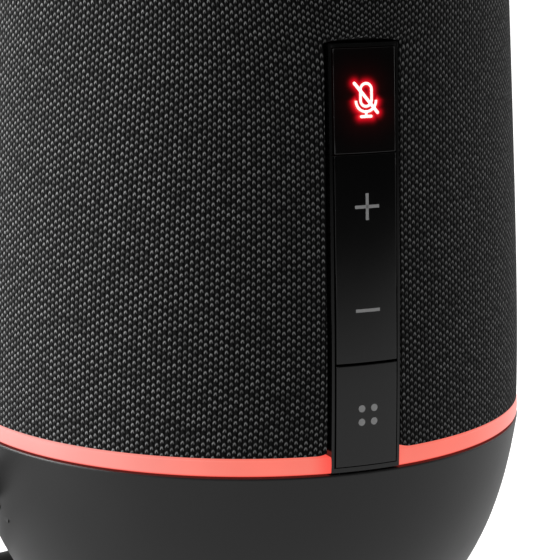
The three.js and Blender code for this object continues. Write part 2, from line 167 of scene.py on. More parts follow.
def trace(name: str, points: Sequence[Point], closed: bool = True) -> bpy.types.Object:
    """Draws a wire through points by extruding one vertex after another.

    Args:
        name: The piece's name.
        points: The wire's points in order.
        closed: Whether the wire comes back to its first point.

    Returns:
        The wire as a mesh object.
    """
    route = [Vector(point) for point in points]
    if closed:
        route.append(route[0])
    bpy.ops.object.select_all(action="DESELECT")
    bpy.ops.mesh.primitive_plane_add(size=0.001, location=route[0])
    obj = keep_primitive(name)
    with editing(obj):
        bpy.ops.mesh.merge(type="CENTER")
        for start, end in pairwise(route):
            bpy.ops.mesh.extrude_region_move(TRANSFORM_OT_translate={"value": end - start})
        bpy.ops.mesh.select_all(action="SELECT")
        bpy.ops.mesh.remove_doubles(threshold=MERGE)
    return obj


def turn(
    name: str,
    profile: Sequence[tuple[float, float]],
    steps: int,
    centre: Point = (0.0, 0.0, 0.0),
    axis: Point = (0.0, 0.0, 1.0),
    closed: bool = True,
) -> bpy.types.Object:
    """Turns a profile into a solid of revolution with the spin operator.

    Args:
        name: The piece's name.
        profile: Points as radius and distance along the axis.
        steps: How many steps a full turn has.
        centre: A point on the axis.
        axis: The axis's direction, along X, Y or Z.
        closed: Whether the profile is a ring. An open one ends on the axis.

    Returns:
        The turned object.
    """
    along = Vector(axis)
    out = Vector((1.0, 0.0, 0.0)) if abs(along.x) < 0.5 else Vector((0.0, 0.0, 1.0))
    points = [tuple(Vector(centre) + out * r + along * z) for r, z in profile]
    obj = trace(name, points, closed)
    with editing(obj):
        bpy.ops.mesh.spin(steps=steps, angle=2 * pi, center=centre, axis=axis)
        bpy.ops.mesh.select_all(action="SELECT")
        bpy.ops.mesh.remove_doubles(threshold=MERGE)
        bpy.ops.mesh.normals_make_consistent(inside=False)
    return obj


def block(name: str, low: Point, high: Point) -> bpy.types.Object:
    """Adds a box from its lowest and highest corners.

    Args:
        name: The piece's name.
        low: The lowest corner.
        high: The highest corner.

    Returns:
        The box.
    """
    bpy.ops.object.select_all(action="DESELECT")
    middle = (Vector(low) + Vector(high)) / 2
    bpy.ops.mesh.primitive_cube_add(size=1.0, location=middle)
    bpy.context.object.scale = Vector(high) - Vector(low)
    return keep_primitive(name)


def plate(
    name: str, outline: Sequence[tuple[float, float]], front: float, back: float
) -> bpy.types.Object:
    """Makes a flat plate that faces -Y from its outline.

    Args:
        name: The piece's name.
        outline: The outline's points as X and Z.
        front: Y of the front face.
        back: Y of the back face.

    Returns:
        The plate.
    """
    obj = trace(name, [(x, front, z) for x, z in outline])
    with editing(obj):
        bpy.ops.mesh.edge_face_add()
        shift = {"value": (0.0, back - front, 0.0)}
        bpy.ops.mesh.extrude_region_move(TRANSFORM_OT_translate=shift)
        bpy.ops.mesh.select_all(action="SELECT")
        bpy.ops.mesh.normals_make_consistent(inside=False)
    return obj


def apply_modifier(obj: bpy.types.Object, kind: str, **settings: object) -> None:
    """Adds one modifier to an object and applies it.

    Args:
        obj: The object.
        kind: The modifier's type.
        **settings: The modifier's properties.
    """
    activate(obj)
    modifier = obj.modifiers.new(kind.title(), kind)
    for name, value in settings.items():
        setattr(modifier, name, value)
    bpy.ops.object.modifier_apply(modifier=modifier.name)


def combine(obj: bpy.types.Object, tool: bpy.types.Object, operation: str) -> None:
    """Cuts, joins or intersects an object with a tool, which is then thrown away.

    Args:
        obj: The object that stays.
        tool: The object that is used up.
        operation: DIFFERENCE, UNION or INTERSECT.
    """
    apply_modifier(obj, "BOOLEAN", object=tool, operation=operation, solver="EXACT")
    bpy.data.objects.remove(tool)


def drill(
    obj: bpy.types.Object,
    radius: float,
    depth: float,
    place: Point,
    turned: Point = (0.0, 0.0, 0.0),
    sides: int = 24,
) -> None:
    """Drills a round hole through an object.

    Args:
        obj: The object.
        radius: The hole's radius.
        depth: The drill's length.
        place: The drill's middle.
        turned: The drill's turn from upright.
        sides: How many faces the hole has.
    """
    bpy.ops.object.select_all(action="DESELECT")
    bpy.ops.mesh.primitive_cylinder_add(
        vertices=sides, radius=radius, depth=depth, location=place, rotation=turned
    )
    combine(obj, keep_primitive("drill"), "DIFFERENCE")


def round_edges(obj: bpy.types.Object, width: float, segments: int = 3, angle: float = 40) -> None:
    """Rounds every edge sharper than an angle.

    Args:
        obj: The object.
        width: The rounding's width.
        segments: How many faces each rounding has.
        angle: The least angle, in degrees, that counts as an edge.
    """
    apply_modifier(
        obj,
        "BEVEL",
        width=width,
        segments=segments,
        limit_method="ANGLE",
        angle_limit=radians(angle),
    )


def merge_pieces(name: str, pieces: Sequence[bpy.types.Object]) -> bpy.types.Object:
    """Joins several mesh objects into one.

    Args:
        name: The joined piece's name.
        pieces: The objects, of which the first stays.

    Returns:
        The joined object.
    """
    activate(pieces[0])
    for piece in pieces[1:]:
        piece.select_set(True)
    bpy.ops.object.join()
    obj = bpy.context.object
    obj.name = name
    return obj


def column_skin(
    name: str, inner: float, outer: float, bottom: float, top: float, half_width: float
) -> bpy.types.Object:
    """Makes a slab across the front that follows the column's outline.

    Args:
        name: The piece's name.
        inner: Offset of its back from the cloth's outline.
        outer: Offset of its front from the cloth's outline.
        bottom: Its lowest height.
        top: Its highest height.
        half_width: Half its width along X.

    Returns:
        The slab, with flat parallel sides.
    """
    rows = max(round((top - bottom) / 0.003), 2)
    heights = [bottom + (top - bottom) * i / rows for i in range(rows + 1)]
    front = [(COLUMN.cloth(z) + outer, z) for z in heights]
    back = [(COLUMN.cloth(z) + inner, z) for z in reversed(heights)]
    reach = 1.5 * half_width / COLUMN.radius
    start = Matrix.Rotation(-reach, 4, "Z")
    points = [tuple(start @ Vector((0.0, -r, z))) for r, z in front + back]
    obj = trace(name, points)
    with editing(obj):
        bpy.ops.mesh.edge_face_add()
        bpy.ops.mesh.spin(steps=24, angle=2 * reach, center=(0, 0, 0), axis=(0, 0, -1))
        bpy.ops.mesh.select_all(action="SELECT")
        bpy.ops.mesh.remove_doubles(threshold=MERGE)
        for side in (-1.0, 1.0):
            bpy.ops.mesh.select_all(action="SELECT")
            bpy.ops.mesh.bisect(
                plane_co=(side * half_width, 0.0, 0.0),
                plane_no=(side, 0.0, 0.0),
                use_fill=True,
                clear_outer=True,
            )
        bpy.ops.mesh.select_all(action="SELECT")
        bpy.ops.mesh.normals_make_consistent(inside=False)
    return obj


def hand_over(
    obj: bpy.types.Object,
    finish: Finish,
    replaced: Sequence[str] = (),
    body: Body = Body.HOUSING,
    smooth: float = 35.0,
    even: bool = False,
) -> bpy.types.Object:
    """Dresses a finished piece and puts it on its body.

    Args:
        obj: The piece, with its place in its mesh.
        finish: Its finish.
        replaced: The frame's solids that it stands for.
        body: The body it rides on.
        smooth: The angle, in degrees, below which neighbouring faces shade as one.
        even: Whether the large faces keep their own shading next to narrow roundings.

    Returns:
        The piece.
    """
    activate(obj)
    if obj.type == "MESH":
        bpy.ops.object.shade_smooth_by_angle(angle=radians(smooth))
    if even:
        apply_modifier(obj, "WEIGHTED_NORMAL", keep_sharp=True, weight=100)
    obj.data.materials.clear()
    obj.data.materials.append(finish.material())
    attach(obj, body.value)
    if replaced:
        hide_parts(*replaced)
    log.info("%s rides on %s", obj.name, body.value)
    return obj


# ---------------------------------------------------------------- node work
class Graph:
    """A material's node tree, with one short method for each kind of node."""

    def __init__(self, name: str) -> None:
        """Starts an empty material.

        Args:
            name: The material's name.
        """
        self.result = bpy.data.materials.new(name)
        self.result.use_nodes = True
        self.tree = self.result.node_tree
        self.tree.nodes.clear()

    def node(self, kind: str, **settings: object) -> bpy.types.Node:
        """Adds a node and sets its properties.

        Args:
            kind: The node's type, without the common beginning.
            **settings: Its properties.

        Returns:
            The node.
        """
        made = self.tree.nodes.new("ShaderNode" + kind)
        for name, value in settings.items():
            setattr(made, name, value)
        return made

    def feed(self, target: Socket, value: object) -> None:
        """Links a socket to a target, or sets the target to a value.

        Args:
            target: The input socket.
            value: Another node's output, or a plain value.
        """
        if isinstance(value, bpy.types.NodeSocket):
            self.tree.links.new(value, target)
        else:
            target.default_value = value

    def math(self, operation: str, *values: Number) -> Socket:
        """Gives the result of a Math node.

        Args:
            operation: The node's operation.
            *values: Its inputs.

        Returns:
            The result.
        """
        made = self.node("Math", operation=operation)
        for target, value in zip(made.inputs, values):
            self.feed(target, value)
        return made.outputs[0]

    def step(self, value: Number, low: float, high: float) -> Socket:
        """Gives a smooth step that rises from 0 at low to 1 at high.

        Args:
            value: The value that is compared.
            low: Where the result is 0.
            high: Where the result is 1.

        Returns:
            The result.
        """
        made = self.node("MapRange", interpolation_type="SMOOTHSTEP")
        start, end = (low, high) if low < high else (high, low)
        bottom, top = (0.0, 1.0) if low < high else (1.0, 0.0)
        for target, given in zip(made.inputs, (value, start, end, bottom, top)):
            self.feed(target, given)
        return made.outputs[0]

    def scaled(self, value: Socket, bottom: float, top: float) -> Socket:
        """Stretches a value from 0 to 1 over another range.

        Args:
            value: The value.
            bottom: The result at 0.
            top: The result at 1.

        Returns:
            The result.
        """
        return self.math("MULTIPLY_ADD", value, top - bottom, bottom)

    def blend(self, factor: Number, first: object, second: object) -> Socket:
        """Mixes two colours.

        Args:
            factor: 0 for the first colour and 1 for the second.
            first: A colour or a socket.
            second: A colour or a socket.

        Returns:
            The mixed colour.
        """
        made = self.node("Mix", data_type="RGBA")
        self.feed(made.inputs["Factor"], factor)
        self.feed(made.inputs[6], first)
        self.feed(made.inputs[7], second)
        return made.outputs[2]

    def place(self) -> Socket:
        """Gives the object coordinates, which are metres in the frame."""
        return self.node("TexCoord").outputs["Object"]

    def parts(self, vector: Socket) -> tuple[Socket, Socket, Socket]:
        """Splits a vector.

        Args:
            vector: The vector.

        Returns:
            Its three components.
        """
        made = self.node("SeparateXYZ")
        self.feed(made.inputs[0], vector)
        return made.outputs[0], made.outputs[1], made.outputs[2]

    def vector(self, x: Number, y: Number, z: Number = 0.0) -> Socket:
        """Joins three components into a vector.

        Args:
            x: The first component.
            y: The second component.
            z: The third component.

        Returns:
            The vector.
        """
        made = self.node("CombineXYZ")
        for target, value in zip(made.inputs, (x, y, z)):
            self.feed(target, value)
        return made.outputs[0]

    def noise(self, vector: Socket, size: float, detail: float = 3.0) -> Socket:
        """Gives a cloudy pattern whose features are about one size.

        Args:
            vector: The coordinates.
            size: The features' size, in the coordinates' unit.
            detail: How many finer layers it has.

        Returns:
            The pattern, from 0 to 1.
        """
        made = self.node("TexNoise")
        self.feed(made.inputs["Vector"], vector)
        made.inputs["Scale"].default_value = 1.0 / size
        made.inputs["Detail"].default_value = detail
        return made.outputs[0]

    def bump(self, height: Socket, distance: float, strength: float = 1.0) -> Socket:
        """Turns a height into a normal.

        Args:
            height: The height, from 0 to 1.
            distance: What a height of 1 is in metres.
            strength: How much of it counts.

        Returns:
            The normal.
        """
        made = self.node("Bump")
        made.inputs["Strength"].default_value = strength
        made.inputs["Distance"].default_value = distance
        self.feed(made.inputs["Height"], height)
        return made.outputs[0]

    def shade(self, inputs: dict[str, object]) -> bpy.types.Material:
        """Ends the graph in a Principled shader.

        Args:
            inputs: The shader's inputs by name, as sockets or plain values.

        Returns:
            The material.
        """
        shader = self.node("BsdfPrincipled")
        for name, value in inputs.items():
            self.feed(shader.inputs[name], value)
        ending = self.node("OutputMaterial")
        self.feed(ending.inputs["Surface"], shader.outputs[0])
        return self.result


# ---------------------------------------------------------------- finishes
Colour = tuple[float, float, float, float]


def grey(level: float) -> Colour:
    """Gives a near-neutral colour.

    Args:
        level: Its linear brightness.

    Returns:
        The colour.
    """
    return (level, level, level, 1.0)


@dataclass(frozen=True)
class Finish:
    """A surface with a cloudy tint, uneven gloss and a fine grain."""

    name: str
    slot: str
    dark: Colour
    light: Colour
    gloss: tuple[float, float] = (0.35, 0.45)
    grain: float = 0.0004
    relief: float = 0.00001
    cloud: float = 0.02
    metal: float = 0.0
    specular: float = 0.5
    coat: float = 0.0

    def material(self) -> bpy.types.Material:
        """Gives the finish's material, made the first time it is asked for."""
        found = bpy.data.materials.get(self.name)
        return found if found else self.make()

    def make(self) -> bpy.types.Material:
        """Builds the material's nodes.

        Returns:
            The material.
        """
        graph = Graph(self.name)
        place = graph.place()
        fine = graph.noise(place, self.grain, 4.0)
        cloud = graph.noise(place, self.cloud, 2.0)
        wear = graph.math("MULTIPLY_ADD", fine, 0.35, graph.math("MULTIPLY", cloud, 0.65))
        low, high = self.gloss
        return graph.shade(
            {
                "Base Color": graph.blend(graph.step(wear, 0.35, 0.65), self.dark, self.light),
                "Roughness": graph.scaled(graph.step(wear, 0.3, 0.7), low, high),
                "Metallic": self.metal,
                "Specular IOR Level": self.specular,
                "Coat Weight": self.coat,
                "Coat Roughness": 0.08,
                "Normal": graph.bump(fine, self.relief),
            }
        )


@dataclass(frozen=True)
class Knit(Finish):
    """The cloth: staggered loops of dark yarn, with a highlight painted on each loop's upper end
    and shade painted in the grooves between the columns.
    """

    # The groove colour is painted shade: near black between the columns, where the shade falls.
    groove: Colour = grey(0.0005)
    yarn: Colour = grey(0.0046)
    # Painted highlight: light grey painted on the upper end of each loop, where overhead light
    # would catch it.
    painted_highlight_grey: Colour = grey(0.2150)
    uv_name: str = "stitches"

    def make(self) -> bpy.types.Material:
        """Builds the knit from the stitch coordinates: one unit is a column, or a row.

        Returns:
            The material.
        """
        graph = Graph(self.name)
        stitches = graph.node("UVMap", uv_map=self.uv_name).outputs[0]
        across, up, _ = graph.parts(stitches)
        column = graph.math("FLOOR", across)
        odd = graph.math("FLOORED_MODULO", column, 2.0)
        raised = graph.math("MULTIPLY_ADD", odd, 0.5, up)
        row = graph.math("FLOOR", raised)
        chance = graph.node("TexWhiteNoise", noise_dimensions="2D")
        graph.feed(chance.inputs["Vector"], graph.vector(column, row))
        first, second, third = graph.parts(chance.outputs["Color"])
        fibres = graph.noise(
            graph.vector(graph.math("MULTIPLY", across, 6.0), graph.math("MULTIPLY", up, 1.5)),
            1.0,
            3.0,
        )
        tilt = graph.scaled(second, -0.10, 0.10)
        inside = graph.math("SUBTRACT", graph.math("FRACT", raised), 0.44)
        inside = graph.math("SUBTRACT", inside, tilt)
        offset = graph.math("SUBTRACT", graph.math("FRACT", across), 0.5)
        lean = graph.math("MULTIPLY", inside, graph.scaled(third, -0.12, 0.12))
        offset = graph.math("ADD", offset, lean)
        spread = graph.math("DIVIDE", offset, 0.25)
        rise = graph.math("DIVIDE", inside, 0.34)
        squares = graph.math("MULTIPLY_ADD", rise, rise, graph.math("MULTIPLY", spread, spread))
        distance = graph.math("ABSOLUTE", graph.math("SUBTRACT", graph.math("SQRT", squares), 1.0))
        # Painted highlight: an arc on each loop's upper end, painted into the base colour and also
        # raised a little in the bump.
        arc = graph.step(distance, 0.62, 0.15)
        painted_highlight_mask = graph.math("MULTIPLY", arc, graph.step(rise, -0.35, 0.45))
        painted_highlight_mask = graph.math("MULTIPLY", painted_highlight_mask, graph.scaled(first, 0.45, 1.15))
        painted_highlight_mask = graph.math("MULTIPLY", painted_highlight_mask, graph.scaled(fibres, 0.5, 1.5))
        side = graph.math("ABSOLUTE", offset)
        wale = graph.step(side, 0.40, 0.20)
        dome = graph.step(squares, 1.5, 0.1)
        # Painted shade: the grooves between the columns get the near-black groove colour.
        base = graph.blend(wale, self.groove, self.yarn)
        base = graph.blend(graph.math("MULTIPLY", fibres, 0.4), base, grey(0.011))
        height = graph.math("MULTIPLY_ADD", dome, 0.35, graph.math("MULTIPLY", wale, 0.4))
        height = graph.math("MULTIPLY_ADD", painted_highlight_mask, 0.25, height)
        return graph.shade(
            {
                "Base Color": graph.blend(painted_highlight_mask, base, self.painted_highlight_grey),
                "Roughness": 0.80,
                "Specular IOR Level": 0.06,
                "Sheen Weight": 0.05,
                "Sheen Roughness": 0.40,
                "Normal": graph.bump(height, 0.00022, 0.8),
            }
        )


@dataclass(frozen=True)
class Glow(Finish):
    """The light band: milky and lit from within, redder at its ends and its lower edge."""

    middle: Colour = (0.955, 0.190, 0.145, 1.0)
    far: Colour = (0.96, 0.400, 0.370, 1.0)
    edge: Colour = (0.98, 0.085, 0.065, 1.0)

    def make(self) -> bpy.types.Material:
        """Builds the band's light.

        Returns:
            The material.
        """
        graph = Graph(self.name)
        place = graph.place()
        x, y, z = graph.parts(place)
        angle = graph.math("ABSOLUTE", graph.math("ARCTAN2", x, graph.math("MULTIPLY", y, -1.0)))
        colour = graph.blend(graph.step(angle, 0.30, 1.35), self.middle, self.far)
        shifted = graph.math("ADD", x, 0.0016)
        shifted = graph.math("ARCTAN2", shifted, graph.math("MULTIPLY", y, -1.0))
        ends = graph.step(graph.math("ABSOLUTE", shifted), 0.18, 0.090)
        foot = graph.step(z, COLUMN.band_bottom + 0.0006, COLUMN.band_bottom + 0.0001)
        colour = graph.blend(graph.math("MAXIMUM", ends, foot), colour, self.edge)
        lamps = graph.math("SINE", graph.math("MULTIPLY", angle, 24.0))
        haze = graph.math("ADD", graph.math("MULTIPLY", lamps, 0.02), 1.0)
        mottle = graph.scaled(graph.noise(place, 0.004), 0.97, 1.03)
        return graph.shade(
            {
                "Base Color": (0.03, 0.015, 0.012, 1.0),
                "Roughness": 0.4,
                "Specular IOR Level": 0.3,
                "Emission Color": colour,
                "Emission Strength": graph.math("MULTIPLY", haze, mottle),
            }
        )


@dataclass(frozen=True)
class LitKey(Finish):
    """A key of smoked plastic with a red light behind its mark."""

    slash: tuple[Point, Point] = ((-0.00223, 0.0, 0.11806), (0.00244, 0.0, 0.11262))
    head: tuple[Point, Point] = ((0.0001, 0.0, 0.11490), (0.0001, 0.0, 0.11680))
    foot: tuple[Point, Point] = ((-0.0011, 0.0, 0.11200), (0.0013, 0.0, 0.11200))
    head_radius: float = 0.0011
    near_glow: tuple[float, float] = (0.95, 0.00080)
    far_glow: tuple[float, float] = (0.022, 0.00160)

    def make(self) -> bpy.types.Material:
        """Builds the key's surface and the halo that shows round the mark.

        Returns:
            The material.
        """
        graph = Graph(self.name)
        place = graph.place()
        fine = graph.noise(place, self.grain, 4.0)
        x, _, z = graph.parts(place)
        spot = graph.vector(x, 0.0, z)
        head = graph.math("SUBTRACT", self.away(graph, spot, self.head), self.head_radius)
        distance = graph.math("ABSOLUTE", head)
        distance = graph.math("MINIMUM", distance, self.away(graph, spot, self.slash))
        distance = graph.math("MINIMUM", distance, self.away(graph, spot, self.foot))
        cradle = graph.math("SUBTRACT", self.away(graph, spot, self.head), 2 * self.head_radius)
        cradle = graph.math("ABSOLUTE", cradle)
        above = graph.math("MAXIMUM", graph.math("SUBTRACT", z, self.head[0][2]), 0.0)
        distance = graph.math("MINIMUM", distance, graph.math("ADD", cradle, above))
        near = self.fading(graph, distance, self.near_glow, 2.0)
        halo = graph.math("ADD", near, self.fading(graph, distance, self.far_glow, 1.0))
        between = graph.step(distance, 0.00050, 0.00025)
        low, high = self.gloss
        return graph.shade(
            {
                "Base Color": graph.blend(graph.step(fine, 0.3, 0.7), self.dark, self.light),
                "Roughness": graph.scaled(fine, low, high),
                "Specular IOR Level": self.specular,
                "Emission Color": graph.blend(
                    between, (1.0, 0.004, 0.018, 1.0), (1.0, 0.060, 0.055, 1.0)
                ),
                "Emission Strength": halo,
                "Normal": graph.bump(fine, self.relief),
            }
        )

    def away(self, graph: Graph, spot: Socket, stroke: tuple[Point, Point]) -> Socket:
        """Gives the distance from a straight stroke of the mark.

        Args:
            graph: The material's graph.
            spot: The place on the key, with no Y.
            stroke: The stroke's ends.

        Returns:
            The distance in metres.
        """
        start, run = Vector(stroke[0]), Vector(stroke[1]) - Vector(stroke[0])
        offset = graph.node("VectorMath", operation="SUBTRACT")
        graph.feed(offset.inputs[0], spot)
        offset.inputs[1].default_value = start
        along = graph.node("VectorMath", operation="DOT_PRODUCT")
        graph.feed(along.inputs[0], offset.outputs[0])
        along.inputs[1].default_value = run / run.length_squared
        share = graph.math("MINIMUM", graph.math("MAXIMUM", along.outputs["Value"], 0.0), 1.0)
        nearest = graph.node("VectorMath", operation="SCALE")
        nearest.inputs[0].default_value = run
        graph.feed(nearest.inputs["Scale"], share)
        gap = graph.node("VectorMath", operation="DISTANCE")
        graph.feed(gap.inputs[0], offset.outputs[0])
        graph.feed(gap.inputs[1], nearest.outputs[0])
        return gap.outputs["Value"]

    def fading(
        self, graph: Graph, distance: Socket, glow: tuple[float, float], order: float
    ) -> Socket:
        """Gives a light that fades with distance.

        Args:
            graph: The material's graph.
            distance: The distance in metres.
            glow: The light's strength, and the distance over which it fades to a third.
            order: The power of the distance in the fall: 1 exponential, 2 bell-shaped.

        Returns:
            The light's strength.
        """
        power, reach = glow
        share = graph.math("POWER", graph.math("DIVIDE", distance, reach), order)
        fall = graph.math("EXPONENT", graph.math("MULTIPLY", share, -1.0))
        return graph.math("MULTIPLY", fall, power)


@dataclass(frozen=True)
class LitMark(Finish):
    """A printed mark that the light behind it shines through."""

    def make(self) -> bpy.types.Material:
        """Builds the mark's light, a little uneven.

        Returns:
            The material.
        """
        graph = Graph(self.name)
        uneven = graph.noise(graph.place(), 0.0008, 2.0)
        return graph.shade(
            {
                "Base Color": self.light,
                "Roughness": 0.4,
                "Emission Color": graph.blend(uneven, self.dark, self.light),
                "Emission Strength": graph.scaled(uneven, 0.9, 1.2),
            }
        )


@dataclass(frozen=True)
class Circuit(Finish):
    """A circuit board: green lacquer over tracks, with pads at their crossings."""

    def make(self) -> bpy.types.Material:
        """Builds the board's tracks.

        Returns:
            The material.
        """
        graph = Graph(self.name)
        place = graph.place()
        brick = graph.node("TexBrick", offset=0.5)
        graph.feed(brick.inputs["Vector"], place)
        brick.inputs["Scale"].default_value = 260.0
        brick.inputs["Mortar Size"].default_value = 0.12
        grain = graph.noise(place, self.grain, 4.0)
        tracks = graph.blend(brick.outputs["Fac"], self.dark, self.light)
        return graph.shade(
            {
                "Base Color": graph.blend(graph.math("MULTIPLY", grain, 0.3), tracks, self.dark),
                "Roughness": graph.scaled(grain, 0.3, 0.5),
                "Normal": graph.bump(brick.outputs["Fac"], 0.00004),
            }
        )


@dataclass(frozen=True)
class Woven(Finish):
    """Hook-and-loop strap, with a close diagonal rib."""

    def make(self) -> bpy.types.Material:
        """Builds the strap's rib.

        Returns:
            The material.
        """
        graph = Graph(self.name)
        place = graph.place()
        x, y, z = graph.parts(place)
        run = graph.math("ADD", graph.math("ADD", x, y), z)
        rib = graph.math("SINE", graph.math("MULTIPLY", run, 7000.0))
        fuzz = graph.noise(place, self.grain, 5.0)
        height = graph.math("MULTIPLY_ADD", rib, 0.25, fuzz)
        return graph.shade(
            {
                "Base Color": graph.blend(graph.step(height, 0.2, 0.8), self.dark, self.light),
                "Roughness": 0.9,
                "Sheen Weight": 0.4,
                "Normal": graph.bump(height, self.relief),
            }
        )


BASE_PLASTIC = Finish(
    "base_satin", "base_plastic", grey(0.0075), grey(0.0095), (0.38, 0.44), 0.00030, 0.000008,
    specular=0.45,
)
TRIM_PLASTIC = Finish(
    "trim_black", "trim_plastic", grey(0.0045), grey(0.0065), (0.24, 0.30), 0.00035, 0.000004
)
CAP_PLASTIC = Finish(
    "cap_satin", "cap_plastic", grey(0.0100), grey(0.0130), (0.38, 0.46), 0.00030, 0.000010
)
KEY_PLASTIC = Finish(
    "key_black", "key_plastic", grey(0.0012), grey(0.0018), (0.10, 0.14), 0.00025, 0.000002
)
MUTE_PLASTIC = LitKey(
    "mute_key_black", "key_plastic", grey(0.0012), grey(0.0018), (0.10, 0.14), 0.00025, 0.000002
)
BEZEL_PLASTIC = Finish(
    "bezel_black", "trim_plastic", grey(0.0020), grey(0.0030), (0.18, 0.24), 0.00030, 0.000003
)
FRAME_PLASTIC = Finish(
    "frame_black", "frame_plastic", grey(0.0060), grey(0.0090), (0.45, 0.60), 0.00050, 0.000012
)
KEY_MARK = Finish(
    "mark_grey", "key_mark", grey(0.3900), grey(0.4400), (0.40, 0.55), 0.00025, 0.000004
)
MUTE_MARK = LitMark("mark_lit", "mute_mark", (1.0, 0.62, 0.58, 1.0), (1.0, 0.92, 0.88, 1.0))
BAND_GLOW = Glow("band_glow", "light_diffuser", grey(0.5), grey(0.6))
KNIT = Knit("dark_knit", "knit_cloth", grey(0.01), grey(0.02))
FOOT_RUBBER = Finish(
    "foot_rubber", "foot_rubber", grey(0.0080), grey(0.0130), (0.70, 0.85), 0.00040, 0.00003
)
LEAD_JACKET = Finish(
    "lead_jacket", "lead_jacket", grey(0.0060), grey(0.0095), (0.36, 0.46), 0.00060, 0.00002
)
ADAPTER_PLASTIC = Finish(
    "adapter_black", "adapter_plastic", grey(0.0070), grey(0.0105), (0.36, 0.48), 0.00045, 0.00003
)
TIE_STRAP = Woven("tie_strap", "tie_strap", grey(0.0060), grey(0.0300), grain=0.0003, relief=0.0001)
BOARD = Circuit("board_green", "circuit_board", (0.005, 0.05, 0.02, 1), (0.02, 0.12, 0.05, 1))
PAPER = Finish(
    "cone_paper", "cone_paper", grey(0.0120), grey(0.0260), (0.75, 0.9), 0.0008, 0.00012, 0.006
)
STEEL = Finish(
    "steel", "steel", grey(0.42), grey(0.58), (0.22, 0.36), 0.0003, 0.00001, 0.004, metal=1.0
)
ALUMINIUM = Finish(
    "aluminium", "aluminium", grey(0.55), grey(0.68), (0.3, 0.42), 0.0003, 0.00002, 0.004, metal=1.0
)
FERRITE = Finish(
    "ferrite", "ferrite", grey(0.03), grey(0.06), (0.5, 0.7), 0.0004, 0.00004, 0.006, metal=0.6
)
COPPER = Finish(
    "copper", "copper", (0.5, 0.18, 0.08, 1), (0.68, 0.28, 0.13, 1), (0.25, 0.4), metal=1.0
)


